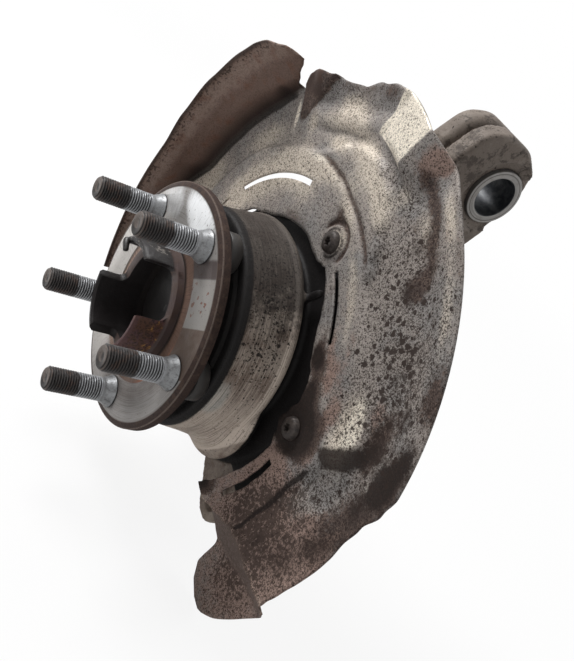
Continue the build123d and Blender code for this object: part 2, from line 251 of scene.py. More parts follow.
# a speck of corrosion, in shares of its cell's size
speckShape = {
    "ragged": 2.6,  # lumps of the outline, finer with a larger value
    "wander": 0.85,
    "shift": (0.31, 0.0, 0.17),  # metres between the patterns of two seeds
    "radius": 0.20,
    "growth": 0.30,  # added where the density is high
    "soft": 0.07,
}


class Finish:
    # a new material, with the coordinates and textures that the recipes share
    def __init__(self, name):
        self.material = bpy.data.materials.new(name)
        self.material.use_nodes = True
        self.tree = self.material.node_tree
        self.tree.nodes.clear()
        self.wire = Wire(self.tree)
        self.place = self.wire.node("ShaderNodeTexCoord", output="Object")

    def node(self, *args, **words):
        return self.wire.node(*args, **words)

    def cloud(self, size, detail=3.0, roughness=0.55, distortion=0.0, seed=0.0):
        # noise from 0 to 1 with lumps of about that many millimetres
        return self.node(
            "ShaderNodeTexNoise", {"noise_dimensions": "4D"},
            {
                "Vector": self.place, "W": seed, "Scale": 1 / (size * mm), "Detail": detail,
                "Roughness": roughness, "Distortion": distortion,
            },
        )

    def grains(self, size, density, seed, crisp):
        # flowing dark grain, more of it where the density from 0 to 1 is higher
        return (self.cloud(size, 3, 0.55, 0.3, seed=seed) - (0.72 - density * 0.20)).rise(0, crisp)

    def vector(self, operation, *values):
        return self.node("ShaderNodeVectorMath", {"operation": operation}, dict(enumerate(values)))

    def specks(self, size, density, seed):
        # separate ragged specks, at most one in each cell of that many millimetres
        shape = speckShape
        ragged = self.node(
            "ShaderNodeTexNoise", {},
            {"Vector": self.place, "Scale": shape["ragged"] / (size * mm), "Detail": 2.0}, output="Color",
        )
        amount = shape["wander"] * size * mm
        place = self.vector("MULTIPLY_ADD", ragged, (amount, amount, amount), self.place)
        place = self.vector("ADD", place, tuple(part * seed for part in shape["shift"]))
        cell = self.node("ShaderNodeTexVoronoi", {}, {"Vector": place, "Scale": 1 / (size * mm)})
        chance = self.node("ShaderNodeSeparateColor", sockets={0: cell.sibling("Color")})
        spare = density - chance
        reach = shape["radius"] + spare.rise(0, 0.6) * shape["growth"]
        return (reach - cell).rise(0, shape["soft"]) * spare.rise(0, 0.02)

    def streaks(self, across, along):
        # flat noise on two coordinates, for brushed and turned lines
        flat = self.node("ShaderNodeCombineXYZ", sockets={0: across, 1: along})
        return self.node(
            "ShaderNodeTexNoise", {"noise_dimensions": "2D"}, {"Vector": flat, "Scale": 1.0, "Detail": 3.0},
        )

    def blend(self, share, first, second):
        first = first if isinstance(first, Wire) else (*first, 1)
        second = second if isinstance(second, Wire) else (*second, 1)
        return self.node(
            "ShaderNodeMix", {"data_type": "RGBA", "clamp_result": True}, {0: share, 6: first, 7: second},
            output=2,
        )

    def layers(self, colour, steps):
        # colours laid over each other, each with its own share
        for share, tone in steps:
            colour = self.blend(share, colour, tone)
        return colour

    def attribute(self, name):
        return self.node("ShaderNodeAttribute", {"attribute_name": name}, output="Fac")

    def axes(self):
        # x, y and z in mm
        parts = self.node("ShaderNodeSeparateXYZ", sockets={0: self.place})
        return [parts.sibling(axis) / mm for axis in "XYZ"]

    def hubPolar(self, x, z):
        # radius in mm and angle in degrees about the hub axis
        turn = self.wire.maths("ARCTAN2", x, z) * (180 / pi)
        return (x * x + z * z) ** 0.5, self.wire.maths("FLOORED_MODULO", turn, 360.0)

    def bump(self, height, depth, strength):
        return self.node(
            "ShaderNodeBump", sockets={"Height": height, "Distance": depth * mm, "Strength": strength},
        )

    def close(self, colour, roughness, metallic, normal, specular=0.3):
        shader = self.node("ShaderNodeBsdfPrincipled", sockets={
            "Base Color": colour, "Roughness": roughness, "Metallic": metallic,
            "Specular IOR Level": specular, "Normal": normal,
        })
        self.node("ShaderNodeOutputMaterial", sockets={"Surface": shader})
        return self.material


print("shader tools ready")


def plainFinish(name, colour, shade, roughness, metallic, lump, depth=0.15, size=3.0):
    # two close tones in soft lumps, for parts that are hidden or small
    f = Finish(name)
    middle = f.cloud(size, 4, 0.6)
    fine = f.cloud(size * 0.2, 3, seed=2)
    tone = f.blend((middle + (fine - 0.5) * 0.5).rise(0.35, 0.7), colour, shade)
    rough = roughness + (middle - 0.5) * 0.25
    return f.close(tone, rough, metallic, f.bump(middle * lump + fine * 0.4, depth, 0.6))


shieldLook = {
    "grey": (0.320, 0.286, 0.260),
    "blueGrey": (0.235, 0.228, 0.222),
    "cream": (0.600, 0.530, 0.445),
    "bright": (0.80, 0.73, 0.62),
    "dirt": (0.048, 0.031, 0.026),
    "dirtLight": (0.125, 0.085, 0.068),
    "pink": (0.290, 0.195, 0.160),
    "speck": (0.030, 0.021, 0.018),
    "soot": (0.012, 0.009, 0.008),
    "fold": (0.120, 0.092, 0.080),
    "crease": (0.016, 0.012, 0.011),
    "wall": (0.135, 0.088, 0.070),
    "wallBand": (0.27, 0.20, 0.168),
    "wallShade": (0.022, 0.015, 0.013),
    "rust": (0.14, 0.060, 0.036),
    # sizes of the marks in mm
    "bigSpeck": 3.8,
    "smallSpeck": 1.5,
    "grain": 2.2,
    "dust": 0.7,
}


def sheetFinish():
    look = shieldLook
    f = Finish("pressed_sheet_worn")
    x, y, z = f.axes()
    radius, angle = f.hubPolar(x, z)
    cream, dirt, pink, density, grit, wall, crease, bright, soot, fold = [
        f.attribute(name)
        for name in ("cream", "dirt", "pink", "specks", "grit", "wall", "crease", "bright", "soot", "fold")
    ]
    broad = f.cloud(30, 4, 0.6, 0.4)
    middle = f.cloud(8, 5, 0.64, 0.3, seed=3)
    small = f.cloud(2.6, 4, 0.68, 0.3, seed=4)
    fine = f.cloud(0.9, 4, 0.7, seed=5)
    uneven = (middle - 0.5) * 0.7 + (small - 0.5) * 0.9 + (fine - 0.5) * 0.6
    dirtTone = f.blend((small + (fine - 0.5)).rise(0.48, 0.66), look["dirt"], look["dirtLight"])
    colour = f.layers(look["grey"], [
        (broad.rise(0.40, 0.62) * 0.8, look["blueGrey"]),
        ((cream * 1.2 + uneven * 0.7).rise(0.15, 1.0), look["cream"]),
        # painted highlight: parts of the sheet that face the lamp are painted near white
        ((bright * 1.3 + uneven * 0.5).rise(0.4, 1.0), look["bright"]),
        ((pink + uneven).rise(0.25, 0.85) * 0.85, look["pink"]),
        # dirt and painted shade in one layer
        ((dirt * 1.15 + uneven * 1.2).rise(0.20, 0.85) * 0.92, dirtTone),
        # painted shade on the wall between the fold and the foot
        (fold * 0.85, look["fold"]),
        ((soot * 1.3 + uneven * 1.0).rise(0.22, 0.8) * 0.94, look["soot"]),
    ])
    # wall of the folded lip, from its free edge to the plate
    wallTone = f.layers(look["wall"], [
        ((y + (middle - 0.5) * 10).between(32, 42, 4) * 0.75, look["wallBand"]),
        (f.cloud(10, 4, seed=9).rise(0.50, 0.72) * 0.55, look["rust"]),
        (y.rise(52, 62) * 0.8, look["wallShade"]),
        (y.fall(30.5, 33) * 0.7, look["wallShade"]),
        (f.cloud(2.0, 3, seed=8).rise(0.52, 0.6) * y.fall(33, 40) * 0.8, look["speck"]),
    ])
    colour = f.blend(wall, colour, wallTone)
    # grain over everything, then corrosion specks of two sizes, coarse grain and dust
    colour = f.blend((0.54 - fine).rise(0.0, 0.2) * 0.45, colour, look["dirt"])
    bigMarks = f.specks(look["bigSpeck"], density * 0.95 - 0.08, 2)
    smallMarks = f.specks(look["smallSpeck"], density * 0.60 + grit * 0.45 + 0.07, 7) * 0.95
    coarse = f.grains(look["grain"], grit * 1.35 + density * 0.25 + 0.04, 16, 0.06) * 0.88
    dusty = density * 0.2 + grit * 0.35 + 0.86 - bright * 0.15
    dust = f.grains(look["dust"], dusty, 6, 0.05) * 0.78
    marks = bigMarks.highest(smallMarks).highest(coarse).highest(dust)
    marks = marks * (1 - wall * 0.75) * (1 - fold * 0.6)
    lines = f.streaks(angle * 6.0, radius * 0.16)
    colour = f.layers(colour, [
        (marks * 0.95, look["speck"]),
        ((lines - 0.56).rise(0.0, 0.14) * 0.18 * (1 - wall), look["dirt"]),
        # painted shade along creases, steps and edges
        ((crease * 1.2 + (fine - 0.5) * 0.6).rise(0.2, 0.9) * 0.9, look["crease"]),
    ])
    height = middle * 0.7 + small * 0.4 + fine * 0.35 - marks * 0.45
    rough = 0.52 + marks * 0.3 + dirt * 0.15 - bright * 0.12
    return f.close(colour, rough, 0.10 + bright * 0.08 - dirt * 0.10, f.bump(height, 0.4, 0.9), specular=0.12)


shieldShape = {
    "sheet": 1.2,
    "start": 241.0,  # the lip's lower end
    "end": 498.0,  # the foot, past the top
    "stepAngle": 0.5,
    "ringY": 62.5,
    "plateY": 66.0,
    "footY": 64.2,
    "ridgeY": 57.8,
    "openingUsual": 84.0,  # the slot rows close up where the opening is wider
    "bendFrom": 456.0,  # from here the columns bend towards the free end
    "bendReach": 0.83,
    # (angle, mm) that the rows near the lower slot lean, and their middle radius and spread
    "slotLean": [(450, 0), (457, -4.2), (468, -2.6), (476, -0.6), (483, 0.8), (488, 2.2), (494, 0)],
    "slotLeanAt": (97, 9),
    "boltCircle": 88.0,
    "boltAngles": (373.0, 444.0, 262.0),
    "boltHole": 3.6,
    # (angle, radius) of the opening and of the outer edge
    "opening": [
        (241, 83), (270, 83), (294, 83), (305, 79), (318, 73.5), (326, 71.6), (343, 72.6), (359, 74),
        (368, 73), (374, 74), (379, 77.5), (380.5, 79.5), (385, 79.3), (391, 78.3), (400, 76.5), (407, 75),
        (412, 75), (419, 76.6), (424, 80), (428, 81.2), (435, 81.5), (440, 77.5), (447, 75), (452, 80),
        (457, 85), (470, 86), (479, 87), (487, 89), (494, 92), (498, 94),
    ],
    "edge": [
        (241, 146), (262, 146), (277, 145.5), (283, 143), (295, 144), (303, 146), (312, 148), (319, 151.5),
        (322.3, 153), (322.8, 151.5), (323.2, 153), (323.9, 158), (324.8, 161.3), (326.5, 162.4),
        (329, 161.5), (334, 159), (340, 157.3), (345, 158), (351, 165), (355, 169), (358, 170), (362, 170),
        (433, 170), (437, 167), (442, 161), (447, 158.8), (451, 159.5), (456, 160), (461, 160.5),
        (466, 162), (468.5, 163.5), (470, 168), (479, 166.3), (488, 166.5), (493, 164), (498, 160),
    ],
    # (angle, radius) where the raised ring, and the lobe beside the top bolt, end
    "ringEnd": [
        (241, 118), (309, 118), (320, 115), (330, 113), (344, 112), (355, 110), (366, 107.5), (385, 107),
        (400, 104), (430, 102), (441, 118), (445, 115), (448, 112.5), (455, 110.5), (467, 113.5),
        (475, 119), (498, 132),
    ],
    "lobeEnd": [
        (334, 0), (336, 112), (343, 116), (350, 125), (358, 131), (366, 133), (372, 130), (377, 125),
        (384, 118), (389, 111), (394, 104), (396, 0),
    ],
    # (angle, radius) of the crease below the wavy top edge, and of the valley inside the right edge
    "topLine": [(323, 129), (338, 129), (350, 133), (358, 140)],
    "valley": [(376, 150), (395, 146), (420, 142), (440, 138), (456, 130)],
    "streak": [(374, 154), (384, 154), (392, 148), (402, 138)],  # (angle, radius) of a dirty streak
    # (radius, angle) of the ridge where the foot folds back, and of the bottom of that fold
    "foldTop": [
        (98, 498), (102, 494), (108, 487), (113, 482), (120, 477), (130, 474), (140, 472.5), (150, 470.5),
        (164, 468.5),
    ],
    "foldFoot": [
        (98, 505), (109, 492), (118, 489), (130, 483.5), (136, 480.5), (145, 476.5), (152, 474.5),
        (161, 472.5), (164, 471.5),
    ],
    # (radius, angle) of the free end, from the neck to the rounded heel
    "free": [
        (94, 498), (98, 496.5), (102, 494), (109, 490.5), (117, 489), (124, 487.3), (127, 488),
        (133, 491.5), (138, 494), (148, 494.5), (158, 493), (164, 491), (167, 487),
    ],
}

# angles between which a feature of the shield rises, and between which it falls again
shieldZones = {
    "groove": (336, 348, 386, 394),
    "ringRim": (300, 330, 386, 396),
    "topLine": (324, 338, 352, 357),
    "lowLine": (444, 448, 475, 478),
    "wideSlope": (396, 415, 438, 446),
    "top": (325.5, 330, 356.5, 358.5),
    "right": (376, 392, 444, 454),
    "facetPaint": (356.4, 357.4, 370.0, 371.2),
    "streak": (372, 377, 396, 404),
}
# angles where the facet starts, stands highest and ends
facetAngles = (356.5, 370.6, 377.5)

shieldRelief = {
    # mm that each pressed feature stands away from the wheel, so a minus is towards it
    "groove": 1.3,  # beside the raised ring
    "rim": -0.4,  # the ring's own edge
    "lowLine": 1.8,
    "pad": 1.9,  # round the top bolt
    "topLine": 0.8,
    "topSlope": -2.2,
    "topCurl": -4.0,
    "tongue": -4.5,  # the flap beside the notch
    "notch": -1.2,
    "facet": -8.0,
    "facetFoot": 1.8,
    "valley": 2.8,
    "roll": -2.2,  # the right edge
    # angle, radius, degrees wide, mm deep, height
    "swellings": [(436, 130, 9, 11, -3.5), (452, 132, 6, 12, -2.2)],
    "lowerPad": 0.9,  # round the lower bolt
    "footEnd": -0.9,
    "lipRise": -20,
}


def sweepPlace(point):
    # radius and angle, counted past 360 after the top
    radius, angle = polarOf(point)
    return radius, angle + (360 if angle < shieldShape["start"] - 6 else 0)


def nearBolt(radius, angle, index):
    # distance in mm from a bolt's centre
    turn = radians(angle - shieldShape["boltAngles"][index])
    circle = shieldShape["boltCircle"]
    return hypot(radius * cos(turn) - circle, radius * sin(turn))


def creases(radius, angle):
    # share of each pressed line at a place, so that height and colour agree
    shape = shieldShape
    ringEnd = follow(shape["ringEnd"], angle)
    groove = plateau(*shieldZones["groove"], angle) * bell(radius, ringEnd + 2.0, 2.0)
    top = plateau(*shieldZones["topLine"], angle) * bell(radius, follow(shape["topLine"], angle), 2.6)
    low = plateau(*shieldZones["lowLine"], angle) * bell(radius, ringEnd + 0.8, 1.5)
    pad = bell(nearBolt(radius, angle, 0), 12.0, 1.8) * smooth(340, 352, angle) * smooth(84, 92, radius)
    return groove, top, low, pad


tongueShape = {
    "start": (322.6, 323.6),  # angles between which it begins
    "side": 325.0,  # angle of its far side near the root
    "sideFrom": 133,  # radius from which the far side leans away
    "lean": 0.43,  # degrees for each mm
    "root": (131, 137),
}


def tongue(radius, angle):
    # share of the three-cornered flap beside the notch
    shape = tongueShape
    side = shape["side"] + max(0, radius - shape["sideFrom"]) * shape["lean"]
    return plateau(*shape["start"], side - 0.6, side + 0.8, angle) * smooth(*shape["root"], radius)


def shieldY(radius, angle):
    shape = shieldShape
    relief = shieldRelief
    zones = shieldZones
    ringEnd = follow(shape["ringEnd"], angle)
    outer = max(ringEnd, follow(shape["lobeEnd"], angle))
    slopeWidth = 4.5 + 9 * plateau(*zones["wideSlope"], angle)
    y = shape["ringY"] + (shape["plateY"] - shape["ringY"]) * smooth(outer, outer + slopeWidth, radius)
    groove, topCrease, low, pad = creases(radius, angle)
    y += relief["groove"] * groove + relief["lowLine"] * low
    y += relief["pad"] * pad + relief["topLine"] * topCrease
    # the ring's rim stands a little proud beside the groove
    y += relief["rim"] * bell(radius, ringEnd - 2.5, 2.6) * plateau(*zones["ringRim"], angle)
    # below the wavy top: a rise at the crease, a bright slope above it, and the edge curling back
    top = plateau(*zones["top"], angle)
    line = follow(shape["topLine"], angle)
    y += relief["topSlope"] * top * plateau(line - 3, line + 8, line + 8, line + 18, radius)
    y += relief["topCurl"] * top * smooth(line + 13, line + 32, radius)
    # the flap beside the notch curls towards the wheel
    y += relief["tongue"] * tongue(radius, angle) * ramp(131, 163, radius)
    y += relief["notch"] * bell(angle, 321.6, 1.5) * smooth(118, 132, radius)
    # facet with sharp sides at the right of the top
    facet = smooth(139, 147, radius)
    start, crest, end = facetAngles
    y += relief["facet"] * facet * ramp(start, crest, angle) * (1 - ramp(crest, end, angle))
    y += relief["facetFoot"] * facet * bell(angle, 379, 3)
    # long soft valley and the roll of the right edge
    right = plateau(*zones["right"], angle)
    valley = follow(shape["valley"], angle)
    y += relief["valley"] * right * bell(radius, valley, 8)
    y += relief["roll"] * right * smooth(valley + 6, 170, radius)
    # swellings at the bottom right, and the sunk pad round the lower bolt
    for middleAngle, middleRadius, wide, deep, height in relief["swellings"]:
        y += height * bell(angle, middleAngle, wide) * bell(radius, middleRadius, deep)
    y += relief["lowerPad"] * (1 - smooth(10, 16, nearBolt(radius, angle, 1)))
    # the sheet climbs to a ridge and folds back to the foot
    foldTop = follow(shape["foldTop"], radius)
    foldFoot = max(follow(shape["foldFoot"], radius), foldTop + 2)
    y += (shape["ridgeY"] - y) * ramp(foldTop - 26, foldTop, angle) ** 1.6
    if angle > foldTop:
        y = shape["ridgeY"] + (shape["footY"] - shape["ridgeY"]) * ramp(foldTop, foldFoot, angle)
        y += relief["footEnd"] * smooth(foldFoot, foldFoot + 12, angle)
    # the plate rises towards the wheel at the lip's lower end
    return y + relief["lipRise"] * (1 - smooth(258, 282, angle)) * smooth(112, 138, radius)


def bend(radius, angle):
    # the last columns follow the free end
    shape = shieldShape
    hold = shape["bendFrom"]
    if angle <= hold:
        return angle
    return hold + (follows(shape["free"], radius) - hold) * (angle - hold) / (shape["end"] - hold)


# name: start angle, end angle, first and last row
shieldSlots = {
    "upper": (299.5, 344.0, 95.2, 98.8),
    "short": (283.0, 291.5, 97.0, 98.8),
    "side": (384.5, 412.0, 85.6, 89.0),
    "lower": (458.0, 487.0, 93.7, 98.8),
}
slotRows = [65.0, 69.0, 73.5, 78.0, 83.0, 85.6, 89.0, 90.6, 92.2, 93.7, 95.2, 97.0, 98.8]
firstSlotRow = 5  # the rows before it only fill the space up to the opening
outerCount = 48  # rows from the last slot row to the outer edge
gridRadius = 70  # where a sheet's first row lies before the sheet has its shape


def rowRadius(row, angle):
    # the rows near the slots keep their radius, and close up where the opening is wide
    shape = shieldShape
    opening = follow(shape["opening"], angle)
    last = slotRows[-1]
    squeeze = (last - max(opening, shape["openingUsual"])) / (last - shape["openingUsual"])
    if row < firstSlotRow:
        first = last - (last - slotRows[firstSlotRow]) * squeeze
        radius = opening + (first - opening) * row / firstSlotRow
    elif row < len(slotRows):
        radius = last - (last - slotRows[row]) * squeeze
    else:
        # a column reaches the outer edge a little earlier, because of its bend
        reached = min(angle, shape["bendFrom"] + (angle - shape["bendFrom"]) * shape["bendReach"])
        edge = follow(shape["edge"], reached)
        radius = last + (edge - last) * (row - len(slotRows) + 1) / outerCount
    # the lower slot leans, so the rows lean with it
    return radius + follow(shape["slotLean"], angle) * bell(radius, *shape["slotLeanAt"])


def sweptSheet(rowCount, start, end):
    # a flat sheet of rows 1 mm apart, swept from one angle to another
    bm = bmesh.new()
    line = [bm.verts.new(polar(gridRadius + row, start, 0)) for row in range(rowCount)]
    edges = [bm.edges.new(pair) for pair in zip(line, line[1:])]
    bmesh.ops.spin(
        bm, geom=line + edges, cent=(0, 0, 0), axis=(0, 1, 0), angle=radians(end - start),
        steps=round((end - start) / shieldShape["stepAngle"]),
    )
    return bm


def makeShield():
    shape = shieldShape
    beyond = 999  # stands for every row past the slot rows
    bm = sweptSheet(len(slotRows) + outerCount, shape["start"], shape["end"])
    places = {}
    for vertex in bm.verts:
        flat, angle = sweepPlace(vertex.co)
        row = round(flat - gridRadius)
        places[vertex] = (slotRows[row] if row < len(slotRows) else beyond, angle)
        radius = rowRadius(row, angle)
        angle = bend(radius, angle)
        vertex.co = polar(radius, angle, shieldY(radius, angle))
    gone = set()
    for face in bm.faces:
        rows, angles = zip(*[places[v] for v in face.verts])
        for start, end, low, high in shieldSlots.values():
            if low <= min(rows) and max(rows) <= high and min(angles) >= start and max(angles) <= end:
                gone.add(face)
        radius, angle = sweepPlace(face.calc_center_median())
        if min(nearBolt(radius, angle, index) for index in range(3)) < shape["boltHole"]:
            gone.add(face)
    bmesh.ops.delete(bm, geom=list(gone), context="FACES")
    return bm


lipShape = {
    # (angle, radius) and (angle, y) of the free edge, and of the ridge between it and the plate
    "edgeRadius": [
        (241, 146.5), (250, 148), (266, 150), (280, 150), (290, 157), (302, 163), (313, 167.5), (320, 169.5),
        (326, 166), (330, 159),
    ],
    "edgeY": [(241, 30), (317, 29.5), (321, 31), (325, 35), (328, 41), (330, 48)],
    "ridgeRadius": [(241, 149), (266, 149), (282, 147), (304, 150), (315, 152), (330, 157)],
    "ridgeY": [(241, 38), (266, 39), (276, 42), (284, 50), (304, 51), (330, 55)],
    "ridgeShare": 0.4,  # of the rows that lie between the plate and the ridge
    "rows": 20,
    "end": 322.5,
    # (share of the way to the free edge, degrees) that the far end leans past its root
    "lean": [(0, 0), (0.2, 0), (0.4, 2.2), (0.6, 4.6), (0.75, 5.8), (0.88, 5.6), (1, 3.6)],
    "bulge": 2.5,
    # the joint with the plate is eased between these radii and angles
    "seamRadius": (135, 170),
    "seamAngle": (235, 324),
    "seamEase": 0.3,
    "seamRounds": 2,
    "wallAngle": (235, 331),  # angles outside which no part of the lip lies
}


def makeLip():
    lip = lipShape
    bm = sweptSheet(lip["rows"] + 1, shieldShape["start"], lip["end"])
    for vertex in bm.verts:
        flat, angle = polarOf(vertex.co)
        share = (flat - gridRadius) / lip["rows"]
        rootRadius = follow(shieldShape["edge"], angle)
        rootY = shieldY(rootRadius, angle)
        # the far end leans past its root
        away = angle + smooth(300, lip["end"], angle) * follow(lip["lean"], share)
        edgeRadius = follow(lip["edgeRadius"], away)
        edgeY = follow(lip["edgeY"], away)
        ridgeRadius = follow(lip["ridgeRadius"], away)
        ridgeY = min(follow(lip["ridgeY"], away), rootY - 3)
        kink = lip["ridgeShare"]
        if share < kink:
            part = share / kink
            radius = rootRadius + (ridgeRadius - rootRadius) * part
            y = rootY + (ridgeY - rootY) * part
        else:
            part = (share - kink) / (1 - kink)
            radius = ridgeRadius + (edgeRadius - ridgeRadius) * part
            radius += lip["bulge"] * sin(pi * part) * smooth(286, 300, away)
            y = ridgeY + (edgeY - ridgeY) * part
        vertex.co = polar(radius, away, y)
    return bm


# radius, angle, radial size, sideways size, strength
shieldSpots = {
    "cream": [
        (96, 312, 16, 30, 0.75), (95, 296, 12, 20, 0.7), (104, 329, 12, 22, 0.8), (108, 348, 6, 22, 0.8),
        (128, 310, 10, 26, 0.7), (130, 330, 10, 6, 0.5), (134, 340, 6, 20, 0.5), (140, 349, 7, 18, 0.55),
        (124, 346, 5, 14, 0.9), (131, 358, 6, 14, 0.9), (127, 9, 6, 16, 0.8), (122, 16, 6, 12, 0.7),
        (104, 9, 5, 12, 0.7), (92, 14, 7, 7, 0.8), (118, 2, 10, 12, 0.5), (134, 280, 12, 24, 0.7),
        (120, 70, 10, 18, 0.9), (126, 76, 9, 10, 0.5), (104, 262, 20, 30, 0.4), (162, 40, 5, 40, 0.3),
        (156, 104, 5, 16, 0.4), (133, 276, 12, 20, 0.4), (92, 342, 12, 14, 0.5), (100, 30, 5, 22, 0.5),
        (99, 45, 4, 16, 0.4), (148, 26, 7, 14, 0.55), (164, 26, 5, 16, 0.6), (138, 16, 7, 8, 0.5),
        (146, 344, 8, 14, 0.75), (162, 44, 5, 18, 0.3),
    ],
    # the next spots are painted highlights
    "bright": [
        (112, 341, 3.5, 16, 0.6), (137, 322, 12, 2.2, 0.9), (126, 350, 3, 14, 0.5), (130, 8, 3, 14, 0.4),
        (88, 330, 8, 12, 0.3), (136, 342, 4, 12, 0.2), (108, 354, 3, 12, 0.45), (125, 71, 7, 9, 1.0),
        (122, 65, 7, 10, 0.6), (118, 76, 6, 8, 0.3),
    ],
    "dirt": [
        (157, 339, 7, 12, 0.45), (158, 347, 6, 14, 0.4), (164, 354, 7, 10, 0.55), (145, 334, 10, 9, 0.2),
        (146, 352, 6, 16, 0.1), (100, 6, 4, 7, 0.8), (87, 28, 3, 14, 0.4), (83, 41, 1.6, 16, 0.5),
        (81, 55, 5, 7, 1.3), (85, 60, 6, 6, 1.1), (88, 70, 8, 9, 1.2), (82, 84, 13, 12, 1.6),
        (96, 83, 12, 11, 1.6), (102, 76, 8, 8, 0.9), (140, 72, 8, 12, 0.6), (136, 37, 7, 10, 0.5),
        (166, 57, 8, 16, 0.8), (119, 96, 7, 14, 0.3), (150, 88, 12, 26, 0.8), (142, 104, 12, 16, 0.5),
        (163, 72, 8, 16, 1.1), (159, 82, 9, 14, 0.7), (142, 66, 7, 14, 0.7), (128, 50, 6, 14, 0.3),
        (93, 134, 7, 9, 1.4), (96, 112, 5, 22, 0.25), (166, 100, 3, 40, 0.8), (152, 46, 5, 16, 0.3),
        (138, 26, 8, 12, 0.3), (76, 344, 3, 20, 0.6), (96, 340, 2.5, 6, 0.6), (168, 30, 3, 50, 0.4),
        (140, 50, 6, 12, 0.35),
    ],
    "soot": [
        (83, 84, 13, 12, 1.5), (92, 82, 12, 11, 1.5), (86, 70, 5, 9, 0.8), (80, 56, 4, 6, 0.9),
        (84, 58, 4, 5, 0.6), (118, 79.5, 5, 6, 0.6), (124, 78, 5, 6, 0.8), (131, 76, 6, 7, 0.8),
        (137, 73.5, 5, 6, 0.6), (142, 70, 6, 8, 0.5), (158, 74, 9, 12, 1.0), (164, 68, 6, 10, 0.7),
        (152, 82, 8, 10, 0.45), (130, 108, 8, 7, 0.5), (136, 100, 6, 8, 0.35), (148, 93, 6, 9, 0.35),
        (94, 135, 5, 6, 0.7), (140, 29, 6, 9, 0.35), (120, 88, 3, 8, 0.4), (150, 10, 4, 4, 0.3),
        (148, 14, 4, 5, 0.35), (134, 38, 6, 10, 0.4), (146, 50, 7, 14, 0.3), (136, 56, 6, 10, 0.3),
        (152, 62, 7, 12, 0.4), (104, 112, 6, 12, 0.3),
    ],
    "pink": [
        (159, 15, 9, 7, 0.9), (166, 16, 6, 8, 0.8), (90, 53, 4, 12, 0.7), (96, 62, 5, 12, 1.0),
        (107, 71, 5, 12, 1.0), (110, 84, 6, 10, 0.7), (103, 107, 6, 18, 0.9), (88, 8, 10, 12, 0.35),
        (138, 95, 14, 26, 0.6), (104, 52, 4, 20, 0.5), (110, 118, 8, 14, 0.7), (160, 30, 5, 20, 0.35),
        (150, 118, 12, 16, 0.7), (134, 64, 5, 10, 0.7), (96, 40, 4, 14, 0.4), (128, 105, 14, 26, 0.6),
        (155, 98, 6, 30, 0.6), (93, 100, 6, 22, 0.9), (150, 60, 8, 26, 0.35),
    ],
    "specks": [
        (118, 32, 10, 18, 0.4), (126, 44, 14, 24, 0.45), (134, 58, 16, 30, 0.6), (146, 62, 20, 50, 0.4),
        (140, 85, 24, 40, 0.3), (118, 98, 16, 30, 0.3), (128, 112, 20, 24, 0.25), (142, 22, 10, 20, 0.35),
        (150, 36, 14, 24, 0.3), (152, 336, 8, 20, 0.15), (112, 60, 8, 30, 0.45), (160, 50, 8, 40, 0.4),
        (120, 22, 6, 12, 0.45), (110, 13, 2.5, 14, 0.5), (136, 14, 8, 14, 0.25), (130, 30, 10, 14, 0.3),
    ],
    "grit": [
        (152, 342, 10, 26, 0.35), (140, 8, 8, 14, 0.4), (156, 4, 12, 14, 0.35), (96, 318, 14, 30, 0.25),
        (118, 98, 18, 34, 0.6), (130, 112, 24, 28, 0.65), (106, 112, 12, 24, 0.5), (150, 96, 16, 40, 0.5),
        (140, 30, 20, 30, 0.3), (150, 60, 20, 40, 0.35), (150, 122, 24, 24, 0.5), (120, 68, 12, 18, 0.35),
        (88, 68, 10, 16, 0.4), (104, 350, 12, 20, 0.15),
    ],
}
# what the whole sheet has of some of them
shieldBases = {"specks": 0.18, "grit": 0.08, "soot": 0.0}


